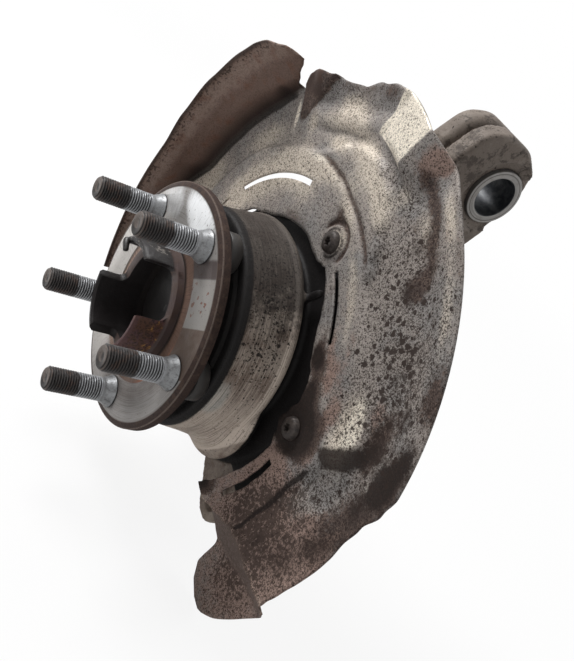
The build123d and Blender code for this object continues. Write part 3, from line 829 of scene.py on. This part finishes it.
def finishShield():
    shape = shieldShape
    plate = bpy.data.meshes.new("plate")
    bm = makeShield()
    bm.to_mesh(plate)
    bm.free()
    whole = makeLip()
    whole.from_mesh(plate)
    bpy.data.meshes.remove(plate)
    bmesh.ops.remove_doubles(whole, verts=whole.verts, dist=0.4 * mm)
    inner, outer = lipShape["seamRadius"]
    first, last = lipShape["seamAngle"]
    for repeat in range(lipShape["seamRounds"]):
        seam = []
        for vertex in whole.verts:
            radius, angle = polarOf(vertex.co)
            if inner < radius < outer and first < angle < last and not vertex.is_boundary:
                seam.append(vertex)
        bmesh.ops.smooth_vert(
            whole, verts=seam, factor=lipShape["seamEase"], use_axis_x=True, use_axis_y=True, use_axis_z=True,
        )
    # the faces look towards the wheel, and the thickness grows behind them
    bmesh.ops.recalc_face_normals(whole, faces=whole.faces)
    if sum(face.normal.y * face.calc_area() for face in whole.faces) > 0:
        bmesh.ops.reverse_faces(whole, faces=whole.faces)
    shield = addPiece(
        "dust_shield_sheet", whole, "knuckle", sheetFinish(), ["dust_shield"], 45,
    )
    mesh = shield.data
    for name, base in shieldBases.items():
        paint(mesh, name, spotted(shieldSpots[name], base))
    creamSpots, paintedHighlightSpots, dirtSpots, pinkSpots = [
        spotted(shieldSpots[name]) for name in ("cream", "bright", "dirt", "pink")
    ]
    footFrom = 460  # no part of the fold lies before this angle

    def creamRule(point):
        # a painted highlight runs along the ridge of the fold of the foot
        radius, angle = sweepPlace(point)
        fold = bell(angle, follow(shape["foldTop"], radius) - 0.3, 0.5) if angle > footFrom else 0
        return creamSpots(point) + 1.3 * fold

    def facetShare(radius, angle):
        return smooth(141.5, 143.5, radius) * plateau(*shieldZones["facetPaint"], angle)

    # painted highlights: the listed spots and the facet that faces the lamp
    def paintedHighlightRule(point):
        return paintedHighlightSpots(point) + 1.1 * facetShare(*sweepPlace(point))

    def pinkRule(point):
        # everything below the lower bolt has a pinkish brown tone, but for a grey patch
        radius, angle = sweepPlace(point)
        patch = bell(radius, 128, 11) * bell(angle, 454, 9)
        return pinkSpots(point) + 0.62 * smooth(444, 456, angle) - 0.7 * patch

    def dirtAndShadeRule(point):
        radius, angle = sweepPlace(point)
        streak = bell(radius, follow(shape["streak"], angle), 5.5) * plateau(*shieldZones["streak"], angle)
        groove, top, low, pad = creases(radius, angle)
        # painted shade on the flap beside the notch, the band round the top bolt and the groove beside the
        # ring; the streak is dirt
        shade = 1.3 * tongue(radius, angle) + 0.8 * streak + 0.9 * pad + 0.75 * groove
        return dirtSpots(point) * (1 - facetShare(radius, angle)) + shade

    def foldRule(point):
        # the smooth wall between the fold and the foot, painted darker as shade
        radius, angle = sweepPlace(point)
        if angle < footFrom:
            return 0.0
        top = follow(shape["foldTop"], radius)
        foot = follow(shape["foldFoot"], radius)
        return plateau(top - 0.2, top + 0.5, foot - 0.5, foot + 1.5, angle)

    def wallRule(point):
        # what stands clear of the plate, towards the wheel, is the lip
        radius, angle = polarOf(point)
        if not lipShape["wallAngle"][0] < angle < lipShape["wallAngle"][1]:
            return 0.0
        angle = min(angle, lipShape["end"] - 0.3)
        plateY = shieldY(min(radius, follow(shape["edge"], angle)), angle)
        return 1 - smooth(-2.5, -0.4, point.y / mm - plateY)

    # painted shade: dark lines along the pressed lines, the step to the lip, the opening's edge, the rims of
    # the sunk pads round the bolts and the outer edge above the facet
    def creaseShadeRule(point):
        radius, angle = sweepPlace(point)
        groove, top, low, pad = creases(radius, angle)
        edge = follow(shape["edge"], angle)
        lipStep = bell(radius, edge - 1.0, 2.5) * (1 - smooth(318, 322, angle)) * 0.8
        free = 0.35 * bell(radius, follow(shape["opening"], angle), 0.9)
        sunkLow = 0.6 * bell(nearBolt(radius, angle, 1), 8.6, 1.6)
        sunkTop = 0.7 * bell(nearBolt(radius, angle, 0), 8.2, 1.2)
        outline = 0.5 * bell(radius, edge, 1.2) * bell(angle, 364, 6)
        lines = groove * 0.12 + top * 0.45 + low * 0.95 + pad * 0.3
        return lines + outline + lipStep + free + sunkLow + sunkTop

    rules = {
        "fold": foldRule, "cream": creamRule, "bright": paintedHighlightRule, "pink": pinkRule, "dirt": dirtAndShadeRule,
        "wall": wallRule, "crease": creaseShadeRule,
    }
    for name, rule in rules.items():
        paint(mesh, name, rule)
    solid = shield.modifiers.new("thickness", "SOLIDIFY")
    solid.thickness = shape["sheet"] * mm
    solid.offset = -1.0
    return shield


shield = finishShield()
print("shield ready", len(shield.data.polygons))

boltLook = {
    "steel": (0.050, 0.040, 0.035),
    "shade": (0.018, 0.014, 0.013),
}
boltShape = {
    "rounding": 0.45,
    "headEnd": 62.5,  # y up to which edges are rounded
}
boltFinish = plainFinish("bolt_oxidised", boltLook["steel"], boltLook["shade"], 0.5, 0.3, 1.0, size=2.0)


def makeBolt(index):
    name = "shield_bolt_" + str(index)
    bm = nodeCopy(name, 1.0)
    headEnd = boltShape["headEnd"] * mm
    soften(bm, boltShape["rounding"], 45, 2, lambda e: max(v.co.y for v in e.verts) < headEnd)
    addPiece(name + "_head", bm, "knuckle", boltFinish, [name], 40)


castLook = {
    "base": (0.31, 0.262, 0.222),
    "pale": (0.56, 0.48, 0.41),
    "bare": (0.36, 0.36, 0.335),
    "dark": (0.020, 0.017, 0.016),
    "greaseAndShade": (0.012, 0.011, 0.011),
    "brown": (0.125, 0.085, 0.066),
    "arm": (0.135, 0.112, 0.096),
    "armPale": (0.25, 0.215, 0.185),
    "armDark": (0.040, 0.031, 0.027),
    "hollow": (0.007, 0.006, 0.006),
}
# limits in mm and degrees between which each zone of the casting begins or ends
castPlace = {
    "barrelRadius": (74, 77),
    "barrelBack": (57.5, 59),
    "lip": (50.0, 57.5),
    "front": (24.0, 25.5),
    "bareBand": (20, 34),
    "bareAngle": (92, 112),
    "arm": (92, 108),
    "armGap": (7.5, 12.5),
    "armGapTop": (170, 184),
    "hollowFront": (56.5, 58.0),
    "hollowBack": (70.5, 72.5),
    "hollowRadius": (98, 104),
    "speckAngle": (14, 78),
    "speckBand": (26, 50),
}


def castFinish():
    look = castLook
    at = castPlace
    f = Finish("cast_alloy_dirty")
    x, y, z = f.axes()
    radius, angle = f.hubPolar(x, z)
    broad = f.cloud(22, 4, 0.6, 0.5)
    middle = f.cloud(6, 5, 0.66, 0.2, seed=2)
    fine = f.cloud(1.2, 4, 0.7, seed=4)
    uneven = (middle - 0.5) * 0.9 + (fine - 0.5) * 0.5
    barrel = radius.fall(*at["barrelRadius"]) * y.fall(*at["barrelBack"])
    # dirt settles on the upper side, and the lower side is scraped
    upper = (z / radius).rise(0.35, 0.98) * barrel
    lower = (z / radius).fall(-0.25, 0.55) * barrel
    lip = y.between(*at["lip"], 1.2) * barrel
    # painted shadow: the barrel's front band goes near-black, as the shade between the hub flange and the
    # barrel
    front = (y + (fine - 0.5) * 1.5).fall(*at["front"])
    bare = lower * y.between(*at["bareBand"], 6) * angle.fall(*at["bareAngle"])
    arm = z.rise(*at["arm"])
    armBlots = f.cloud(9, 5, 0.62, 0.5, seed=31) + (fine - 0.5) * 0.4
    # painted shade: behind the shield the casting is painted near-black
    hollow = (y + (middle - 0.5) * 2).rise(*at["hollowFront"]) * y.fall(*at["hollowBack"])
    scrape = f.streaks(y * 0.9, angle * 0.06).rise(0.50, 0.66)
    turned = f.streaks(y * 2.4, angle * 0.03)
    colour = f.layers(look["base"], [
        ((broad + uneven * 0.5).rise(0.38, 0.66) * 0.75, look["brown"]),
        (arm * 0.8, look["arm"]),
        (arm * (broad + uneven * 0.6).rise(0.46, 0.62) * 0.55, look["armPale"]),
        (arm * armBlots.rise(0.50, 0.62) * 0.7, look["armDark"]),
        # painted shade in the gap between the arm's two lobes
        (arm * x.between(*at["armGap"], 1.2) * z.rise(*at["armGapTop"]) * 0.75, look["armDark"]),
        ((lower + uneven).rise(0.3, 1.0) * 0.55, look["pale"]),
        ((bare + uneven * 0.5).rise(0.35, 0.7) * 0.75, look["bare"]),
        ((lip * 1.1 + uneven).rise(0.35, 0.9) * 0.7, look["pale"]),
        (scrape * barrel * 0.40, look["pale"]),
        ((upper * 0.95 + uneven * 1.4).rise(0.15, 0.85) * 0.86, look["dark"]),
        (front * barrel, look["greaseAndShade"]),
        ((turned - 0.54).rise(0, 0.1) * barrel * 0.5, look["dark"]),
        (hollow * radius.fall(*at["hollowRadius"]), look["hollow"]),
    ])
    speckZone = angle.between(*at["speckAngle"], 14) * y.between(*at["speckBand"], 7)
    density = barrel * speckZone * 0.55 + 0.22 - bare * 0.15
    marks = f.specks(2.6, density * 0.7, 7).highest(f.specks(1.3, density * 0.8 + 0.06, 8) * 0.9)
    dust = f.grains(0.8, 0.46 + upper * 0.3, 9, 0.06) * 0.65
    marks = marks.highest(dust)
    colour = f.blend(marks * 0.92, colour, look["dark"])
    height = middle * 0.6 + fine * 0.5 + arm * (middle * 0.8 + broad) - marks * 0.7
    return f.close(colour, 0.58 + marks * 0.25 - bare * 0.12, 0.04, f.bump(height, 0.5, 1.0), specular=0.14)


castingShape = {
    "voxel": 1.2,  # mm
    "smoothing": 3,
    "keep": 0.5,  # share of the triangles
}


def makeCasting():
    rough = bpy.data.meshes.new("casting_rough")
    bm = nodeCopy("knuckle")
    bm.to_mesh(rough)
    bm.free()
    helper = bpy.data.objects.new("casting_helper", rough)
    bpy.context.scene.collection.objects.link(helper)
    remesh = helper.modifiers.new("remesh", "REMESH")
    remesh.mode = "VOXEL"
    remesh.voxel_size = castingShape["voxel"] * mm
    ease = helper.modifiers.new("ease", "SMOOTH")
    ease.factor = 0.5
    ease.iterations = castingShape["smoothing"]
    thin = helper.modifiers.new("thin", "DECIMATE")
    thin.ratio = castingShape["keep"]
    bpy.context.view_layer.update()
    done = bpy.data.meshes.new_from_object(helper.evaluated_get(bpy.context.evaluated_depsgraph_get()))
    done.name = "knuckle_casting"
    bpy.data.objects.remove(helper)
    return dressPiece("knuckle_casting", done, "knuckle", castFinish(), ["knuckle"], 60)


for index in (1, 2, 3):
    makeBolt(index)
casting = makeCasting()
print("casting ready", len(casting.data.polygons))

hubLook = {
    "face": (0.27, 0.258, 0.248),
    "faceLeft": (0.50, 0.475, 0.45),
    "bright": (0.78, 0.79, 0.80),
    "patch": (0.25, 0.238, 0.225),
    "rustMark": (0.15, 0.055, 0.035),
    "shade": (0.060, 0.045, 0.043),
    "rustShade": (0.100, 0.068, 0.052),
    "stain": (0.070, 0.046, 0.036),
    "rim": (0.040, 0.026, 0.022),
    "rimLight": (0.13, 0.10, 0.085),
    "recess": (0.150, 0.094, 0.072),
    "recessLitSide": (0.30, 0.215, 0.175),
    "orange": (0.36, 0.11, 0.045),
    "crown": (0.062, 0.044, 0.042),
    "lugRust": (0.080, 0.040, 0.027),
    "purple": (0.085, 0.045, 0.046),
    "yellow": (0.34, 0.17, 0.05),
    "greaseAndShade": (0.014, 0.012, 0.012),
    "greaseLight": (0.16, 0.145, 0.13),
    "back": (0.022, 0.019, 0.018),
}

# limits in mm and degrees of each zone of the hub
hubPlace = {
    "rimRadius": (67.3, 68.3),
    "recessRadius": (45.7, 46.2),
    "crownRadius": (35.95, 36.3),
    "socketRadius": (28.4, 29.0),
    "crownBack": (-4.2, -3.4),
    "backY": (7.6, 8.6),
    # mm across the rubbed band at the right of the face
    "shade": (14.7, 25),
    "patch": (-11, 14.7),
    "rustShade": (-38, -11),
    "leftAngle": (196, 318),
    "stainAngle": (96, 200),
    "rustyLug": (66, 134),
}


def hubFinish():
    look = hubLook
    at = hubPlace
    f = Finish("hub_forging")
    x, y, z = f.axes()
    radius, angle = f.hubPolar(x, z)
    middle = f.cloud(6, 5, 0.64, 0.3)
    fine = f.cloud(1.1, 4, 0.68, seed=3)
    uneven = (middle - 0.5) * 0.9 + (fine - 0.5) * 0.5
    # the machined face, turned in fine rings and brushed
    rings = f.streaks(radius * 2.6, angle * 0.04)
    brushed = f.streaks(angle * 0.9, radius * 0.05)
    # coordinate across the rubbed band at the right of the face
    across = z * 0.77 - x * 0.64
    right = x.rise(11, 15)
    # a painted highlight at the top of the face, and a fainter one to its left
    spot = ((x + 3) * 0.035) ** 2.0 + ((z - 59) * 0.085) ** 2.0
    faint = ((x + 40) * 0.05) ** 2.0 + ((z - 47) * 0.07) ** 2.0
    spot = spot.fall(0.15, 1.3).highest(faint.fall(0.1, 1.3) * 0.6)
    glow = spot * right.fall(0.4, 0.9).highest(across.rise(25, 30))
    colour = f.layers(look["face"], [
        ((rings - 0.44).rise(0.0, 0.2) * 0.35, look["stain"]),
        (angle.between(*at["leftAngle"], 14) * 0.9, look["faceLeft"]),
        ((glow * 1.15 + (brushed - 0.5) * 0.5 + uneven * 0.5).rise(0.35, 1.1), look["bright"]),
        (right * across.between(*at["shade"], 1.2) * 0.9, look["shade"]),
        (right * across.between(*at["rustShade"], 0.5) * (0.6 + middle * 0.5), look["rustShade"]),
        (right * across.between(*at["patch"], 0.35), look["patch"]),
        (angle.between(*at["stainAngle"], 14) * radius.fall(50, 62) * (uneven + 0.5) * 0.6, look["stain"]),
        (((brushed - 0.60).rise(0, 0.1) * 0.25) * right.fall(0.2, 0.8), look["stain"]),
        (f.specks(2.4, 0.16, 12) * 0.8, look["stain"]),
        (f.grains(0.8, 0.45, 13, 0.05) * 0.6, look["shade"]),
        (f.specks(4.5, 0.42, 14) * right * across.between(-9, 13, 1.0) * 0.8, look["rustMark"]),
    ])
    # rim of the flange with thin lighter lines along its edges
    rim = radius.rise(*at["rimRadius"]).highest(y.rise(0.9, 1.4) * radius.rise(60, 62))
    edgeLine = radius.rise(70.7, 71.2) * y.between(0.7, 1.7, 0.25)
    innerLine = radius.between(67.4, 68.1, 0.25) * y.fall(0.2, 0.7)
    rimTone = f.layers(look["rim"], [
        (middle.rise(0.48, 0.62) * 0.6, look["stain"]),
        (fine.rise(0.50, 0.66) * 0.6, look["greaseAndShade"]),
        ((edgeLine * 0.8 + innerLine * 0.6) * fine.rise(0.3, 0.5), look["rimLight"]),
    ])
    colour = f.blend(rim, colour, rimTone)
    # recess round the centring crown, painted lighter on its left side as painted light
    recess = radius.fall(*at["recessRadius"])
    left = x.fall(-20, 5)
    line = radius.between(44.4, 46.3, 0.35) * angle.between(78, 128, 12)
    recessTone = f.layers(look["recess"], [
        (left, look["recessLitSide"]),
        ((brushed - 0.46).rise(0, 0.16) * 0.45, look["stain"]),
        # darker next to the crown's foot
        (radius.fall(37.0, 39.5) * 0.9, look["greaseAndShade"]),
        (uneven.rise(0.0, 0.35) * 0.5, look["stain"]),
        (line * (0.35 + middle), look["orange"]),
    ])
    colour = f.blend(recess, colour, recessTone)
    # the crown's three lugs: one rusty, two greasy
    crown = radius.fall(*at["crownRadius"])
    lugA = angle.between(*at["rustyLug"], 3)
    ochre = (f.cloud(4, 4, 0.6, 0.4, seed=21) - 0.55).rise(0, 0.1)
    rusty = f.layers(look["lugRust"], [
        (middle.rise(0.44, 0.56), look["purple"]),
        (ochre * y.rise(-13, -7), look["yellow"]),
        (fine.rise(0.48, 0.62) * 0.85, look["greaseAndShade"]),
        (y.fall(-18.6, -17.4) * 0.6, look["purple"]),
    ])
    smear = (f.cloud(2.6, 4, 0.65, seed=22) - 0.54).rise(0, 0.08) * angle.rise(300, 310) * 0.85
    greasy = f.blend(smear, look["greaseAndShade"], look["greaseLight"])
    body = f.blend(uneven.rise(-0.15, 0.25), look["crown"], look["stain"])
    crownTone = f.blend(lugA, greasy, rusty)
    crownTone = f.blend(y.rise(*at["crownBack"]), crownTone, body)
    # the inner faces of the two other lugs are darker
    crownTone = f.blend(radius.fall(29.3, 29.8) * lugA.fall(0.3, 0.7), crownTone, look["greaseAndShade"])
    colour = f.blend(crown, colour, crownTone)
    # painted shade inside the socket
    colour = f.blend(radius.fall(*at["socketRadius"]), colour, look["greaseAndShade"])
    # painted shadow on the hub behind the flange
    colour = f.blend(y.rise(*at["backY"]), colour, look["back"])
    wet = crown * lugA.fall(0.3, 0.7) * y.fall(-4.0, -3.0)
    rough = 0.50 + rim * 0.15 - wet * 0.12 + (middle - 0.5) * 0.25 - glow * 0.1
    metal = 0.30 - crown * 0.30 - rim * 0.28 - recess * 0.08
    height = rings * 0.12 * (1 - crown) + fine * 0.35 + crown * middle * 1.4 + rim * middle * 0.9
    return f.close(colour, rough, metal, f.bump(height, 0.4, 0.9), specular=0.12)


hubShape = {
    "rounding": 0.5,
    "roundedTo": 13.0,  # y up to which edges are rounded
}


def makeHub():
    bm = nodeCopy("hub", 1.0)
    last = hubShape["roundedTo"] * mm
    soften(bm, hubShape["rounding"], 40, 2, lambda e: max(v.co.y for v in e.verts) < last)
    addPiece("hub_forging", bm, "hub", hubFinish(), ["hub"], 35)


# hooked drip of old grease on the upper lug
dripShape = {
    # radius, angle and y of its line, and its thickness
    "line": [
        (32.0, 311.5, -19.0, 2.3), (29.5, 313.0, -20.2, 2.3), (27.6, 315.5, -20.6, 2.0),
        (25.6, 317.5, -20.7, 1.7), (23.7, 319.0, -20.7, 1.9),
    ],
    "sides": 10,
    "dark": (0.010, 0.009, 0.009),
    "pale": (0.035, 0.030, 0.027),
}


def makeDrip():
    bm = bmesh.new()
    rings = []
    line = dripShape["line"]
    centres = [polar(*stop[:3]) for stop in line]
    for index, centre in enumerate(centres):
        ahead = (centres[min(index + 1, len(line) - 1)] - centres[max(index - 1, 0)]).normalized()
        turn = ahead.to_track_quat("Z", "Y").to_matrix().to_4x4()
        made = bmesh.ops.create_circle(
            bm, cap_ends=False, radius=line[index][3] * mm, segments=dripShape["sides"],
            matrix=Matrix.Translation(centre) @ turn,
        )
        rings.append(made["verts"])

    def within(edge, ring):
        return edge.verts[0] in ring and edge.verts[1] in ring

    for before, after in zip(rings, rings[1:]):
        edges = [e for e in bm.edges if within(e, before) or within(e, after)]
        bmesh.ops.bridge_loops(bm, edges=edges)
    for ends in (rings[0], rings[-1]):
        loop = [e for e in bm.edges if within(e, ends) and e.is_boundary]
        bmesh.ops.edgeloop_fill(bm, edges=loop)
    bmesh.ops.recalc_face_normals(bm, faces=bm.faces)
    oldGrease = plainFinish("grease_old", dripShape["dark"], dripShape["pale"], 0.40, 0.0, 0.8, size=2.0)
    drip = addPiece("grease_drip", bm, "hub", oldGrease, (), 80)
    rounder = drip.modifiers.new("rounding", "SUBSURF")
    rounder.levels = 2
    rounder.render_levels = 2


makeHub()
makeDrip()
print("hub ready")

studLook = {
    "silver": (0.27, 0.275, 0.285),
    "groove": (0.012, 0.011, 0.011),
    "dark": (0.050, 0.046, 0.045),
    "collar": (0.22, 0.225, 0.23),
    "rust": (0.075, 0.046, 0.035),
    "tip": (0.125, 0.105, 0.094),
    "head": (0.045, 0.042, 0.040),
}

# y in mm between which each zone of a stud begins or ends
studPlace = {
    "tip": (-39.3, -38.2),
    "bare": (-22.6, -21.4),
    "collar": (-7.2, -6.2),
    "head": (7.5, 8.5),
}


def studFinish():
    look = studLook
    at = studPlace
    f = Finish("stud_plated")
    y = f.axes()[1]
    groove = f.attribute("groove")
    middle = f.cloud(5, 4, seed=1)
    fine = f.cloud(0.7, 4, 0.65, seed=2)
    outer = (y + (middle - 0.5) * 5).fall(*at["bare"])
    tip = y.fall(*at["tip"])
    collar = y.rise(*at["collar"])
    head = y.rise(*at["head"])
    colour = f.layers(look["silver"], [
        (outer, look["dark"]),
        (outer * middle.rise(0.50, 0.60) * 0.6, look["rust"]),
        (collar, look["collar"]),
        (collar * (f.cloud(2.2, 4, 0.65, seed=5) - 0.5).rise(-0.02, 0.16) * 0.55, look["dark"]),
        (tip * 0.9, look["tip"]),
        (tip * fine.rise(0.5, 0.65) * 0.7, look["rust"]),
        # painted shade in the thread's roots, then a painted shadow at the collar's foot
        (groove.rise(0.25, 0.85) * 0.93, look["groove"]),
        (y.between(-0.75, 0.5, 0.3) * 0.9, look["groove"]),
        (fine.rise(0.52, 0.68) * 0.45, look["dark"]),
        (head, look["head"]),
    ])
    rough = 0.40 + outer * 0.12 + (middle - 0.5) * 0.2
    metal = 0.45 - head * 0.4 - outer * 0.25
    return f.close(colour, rough, metal, f.bump(fine, 0.12, 0.6), specular=0.2)


studShape = {
    "count": 5,
    "circle": 57.15,
    "first": 304.0,
    "length": 39.7,
    "threadEnd": -6.9,
    "pitch": 1.5,
    "major": 7.0,
    "depth": 0.95,
    "flank": (0.16, 0.9),  # share of half a pitch where the cut starts and is deep
    "runOut": (2.2, 0.4),  # mm before the thread's end over which it fades
    "core": 5.5,  # what lies inside this radius is the tip's flat end
    "chamferSlope": 0.85,
    "tip": 5.7,
    "rows": 168,
    "sides": 48,
    # (radius, y) from the tip's end, then of everything behind the thread
    "end": [(0, 0.55), (2.4, 0.5), (3.0, 0.1), (5.2, 0.0)],
    "base": [
        (7.05, -6.2), (7.2, -5.6), (7.55, -4.8), (8.0, -3.7), (8.5, -2.5), (9.05, -1.4), (9.45, -0.85),
        (9.6, -0.5), (9.45, -0.2), (8.9, 0.03), (7.5, 0.1), (7.5, 9.0), (11.6, 9.0), (12.0, 9.4),
        (12.0, 15.6), (10.6, 17.0), (0, 17.0),
    ],
}


def threadDepth(y, turn):
    # share of the cut at a place on the helix
    shape = studShape
    phase = (y / shape["pitch"] + turn / (2 * pi)) % 1.0
    cut = ramp(*shape["flank"], abs(phase * 2 - 1))
    fadeStart, fadeEnd = [shape["threadEnd"] - before for before in shape["runOut"]]
    return cut * (1 - smooth(fadeStart, fadeEnd, y))


def makeStud(index):
    shape = studShape
    angle = shape["first"] + index * 360 / shape["count"]
    centre = polar(shape["circle"], angle, 0)
    length = shape["threadEnd"] + shape["length"]
    top = [(radius, depth - shape["length"]) for radius, depth in shape["end"]]
    rows = [
        (shape["tip"], -shape["length"] + length * row / shape["rows"]) for row in range(shape["rows"] + 1)
    ]
    bm = spun(top + rows + shape["base"], shape["sides"], (centre.x / mm, centre.z / mm))
    for vertex in bm.verts:
        y = vertex.co.y / mm
        out = vertex.co - Vector((centre.x, vertex.co.y, centre.z))
        if y < shape["threadEnd"] + 0.01 and out.length > shape["core"] * mm:
            radius = shape["major"] - shape["depth"] * threadDepth(y, atan2(out.x, out.z))
            chamfer = shape["tip"] + (y + shape["length"]) * shape["chamferSlope"]
            vertex.co += out.normalized() * (min(chamfer, radius) * mm - out.length)
    name = "wheel_stud_" + str(index + 1)
    stud = addPiece(name + "_threaded", bm, "hub", studSteel, [name], 50)

    def grooveRule(point):
        y = point.y / mm
        turn = atan2(point.x - centre.x, point.z - centre.z)
        return threadDepth(y, turn) if y < shape["threadEnd"] + 0.01 else 0.0

    paint(stud.data, "groove", grooveRule)


studSteel = studFinish()
for index in range(studShape["count"]):
    makeStud(index)
print("studs ready")

bushLook = {
    "steel": (0.36, 0.348, 0.333),
    "latheLine": (0.15, 0.14, 0.132),
    "stain": (0.16, 0.13, 0.11),
    "groove": (0.06, 0.05, 0.045),
    "edge": (0.035, 0.03, 0.028),
    "bore": (0.018, 0.020, 0.024),
    "boreLight": (0.045, 0.047, 0.050),
    "seam": (0.010, 0.010, 0.010),
    "axis": (133.0, 149.5),  # y and z
    "rounding": 0.7,
}


def bushFinish():
    look = bushLook
    f = Finish("bush_steel")
    y, z = [wire - centre for wire, centre in zip(f.axes()[1:], look["axis"])]
    radius = (y * y + z * z) ** 0.5
    turn = f.wire.maths("ARCTAN2", y, z)
    lathe = f.streaks(radius * 3.0, turn * 0.6)
    middle = f.cloud(4, 4, 0.6)
    fine = f.cloud(0.8, 3, seed=2)
    bore = radius.fall(12.3, 12.7)
    seam = turn.between(-0.46, -0.42, 0.012) * bore
    colour = f.layers(look["steel"], [
        ((lathe - 0.45).rise(0, 0.2) * 0.5, look["latheLine"]),
        (middle.rise(0.5, 0.65) * 0.3, look["stain"]),
        (radius.between(14.9, 15.5, 0.12) * 0.7, look["groove"]),
        (radius.rise(16.5, 16.8) * 0.8, look["edge"]),
        (bore, f.blend(middle.rise(0.4, 0.62), look["bore"], look["boreLight"])),
        (seam * 0.9, look["seam"]),
    ])
    rough = 0.50 - bore * 0.12 + (fine - 0.5) * 0.15
    relief = f.bump(lathe * 0.4 + fine * 0.3, 0.12, 0.6)
    return f.close(colour, rough, 0.10 + bore * 0.1, relief, specular=0.15)


def makeBush():
    bm = nodeCopy("arm_bush_sleeve", 1.0)
    soften(bm, bushLook["rounding"], 40, 3)
    addPiece("arm_bush_turned", bm, "knuckle", bushFinish(), ["arm_bush_sleeve"], 40)


makeBush()

plainLook = {
    # word in the node's name: material, its two tones, roughness, metallic, lumps
    "seal": ("black_rubber", (0.008, 0.007, 0.007), (0.015, 0.013, 0.012), 0.8, 0.0, 0.6),
    "cage": ("cage_plastic", (0.12, 0.09, 0.06), (0.09, 0.07, 0.05), 0.5, 0.0, 0.4),
    "plug": ("plug_black", (0.010, 0.009, 0.009), (0.020, 0.018, 0.017), 0.5, 0.0, 0.6),
    "bearing": ("bearing_steel", (0.50, 0.50, 0.51), (0.42, 0.42, 0.43), 0.3, 0.8, 0.2),
}
plainMade = {word: plainFinish(*values) for word, values in plainLook.items()}
for name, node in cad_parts.items():
    for word, material in plainMade.items():
        if word in name:
            node.data.materials[0] = material
            break

cameraShape = {
    "location": (0.3347, -0.2024, 0.2381),
    "look": (-0.6657, 0.5902, -0.4567),
    "roll": -38.6,
    "lens": 43.8,
    "sensor": 36.0,
    "clip": (0.01, 200),
}


def addCamera():
    shape = cameraShape
    data = bpy.data.cameras.new("camera")
    data.sensor_width = shape["sensor"]
    data.lens = shape["lens"]
    data.clip_start, data.clip_end = shape["clip"]
    camera = bpy.data.objects.new("camera", data)
    look = Vector(shape["look"]).normalized()
    roll = Quaternion(look, radians(shape["roll"]))
    camera.rotation_mode = "QUATERNION"
    camera.rotation_quaternion = roll @ look.to_track_quat("-Z", "Y")
    camera.location = shape["location"]
    bpy.context.scene.collection.objects.link(camera)
    bpy.context.scene.camera = camera


lightShape = {
    # direction towards the lamp, distance and size in metres, power
    "key": ((-0.62, -0.38, 0.72), 1.0, 0.42, 13.5),
    "fill": ((0.75, -0.60, 0.10), 1.2, 0.9, 2.4),
    "rear": ((0.20, 0.80, 0.55), 1.2, 0.8, 4.0),
    "aim": (0, 0.06, 0.03),
    "world": 0.27,
}


def addLamp(name, direction, distance, size, power):
    data = bpy.data.lights.new(name, "AREA")
    data.size = size
    data.energy = power
    lamp = bpy.data.objects.new(name, data)
    away = Vector(direction).normalized()
    lamp.location = Vector(lightShape["aim"]) + away * distance
    lamp.rotation_mode = "QUATERNION"
    lamp.rotation_quaternion = (-away).to_track_quat("-Z", "Y")
    bpy.context.scene.collection.objects.link(lamp)


def addWorld():
    world = bpy.data.worlds.new("studio")
    bpy.context.scene.world = world
    world.use_nodes = True
    world.node_tree.nodes.clear()
    wire = Wire(world.node_tree)
    rays = wire.node("ShaderNodeLightPath", output="Is Camera Ray")
    seen = rays.highest(rays.sibling("Is Glossy Ray")).highest(rays.sibling("Is Transmission Ray"))
    dim = wire.node("ShaderNodeBackground", sockets={"Color": (1, 1, 1, 1), "Strength": lightShape["world"]})
    white = wire.node("ShaderNodeBackground", sockets={"Color": (1, 1, 1, 1), "Strength": 1.0})
    mixed = wire.node("ShaderNodeMixShader", sockets={0: seen, 1: dim, 2: white})
    wire.node("ShaderNodeOutputWorld", sockets={"Surface": mixed})


floorLook = {
    "matt": (0.88, 0.88, 0.88, 1),
    "glow": 0.88,  # share of plain white near the part
    "melt": (300, 1200),  # mm from the hub axis over which the floor turns all white
    "size": 60.0,
    "gap": 0.5,  # mm below the part
}


def addFloor():
    look = floorLook
    f = Finish("floor_pale")
    x, y = f.axes()[:2]
    away = (x * x + y * y) ** 0.5
    rays = f.node("ShaderNodeLightPath", output="Is Camera Ray")
    matt = f.node("ShaderNodeBsdfDiffuse", sockets={"Color": look["matt"]})
    glow = f.node("ShaderNodeEmission", sockets={"Color": (1, 1, 1, 1), "Strength": 1.0})
    # the far floor melts into the white background
    share = rays * (look["glow"] + away.rise(*look["melt"]) * (1 - look["glow"]))
    mixed = f.node("ShaderNodeMixShader", sockets={0: share, 1: matt, 2: glow})
    f.node("ShaderNodeOutputMaterial", sockets={"Surface": mixed})
    bm = bmesh.new()
    bmesh.ops.create_grid(bm, x_segments=1, y_segments=1, size=look["size"])
    for vertex in bm.verts:
        vertex.co.z = cadBox[0].z - look["gap"] * mm
    mesh = bpy.data.meshes.new("floor")
    bm.to_mesh(mesh)
    bm.free()
    mesh.materials.append(f.material)
    floor = bpy.data.objects.new("floor", mesh)
    bpy.context.scene.collection.objects.link(floor)


addCamera()
for name in ("key", "fill", "rear"):
    addLamp(name, *lightShape[name])
addWorld()
addFloor()
bpy.context.scene.view_settings.view_transform = "Standard"
print("stage ready")
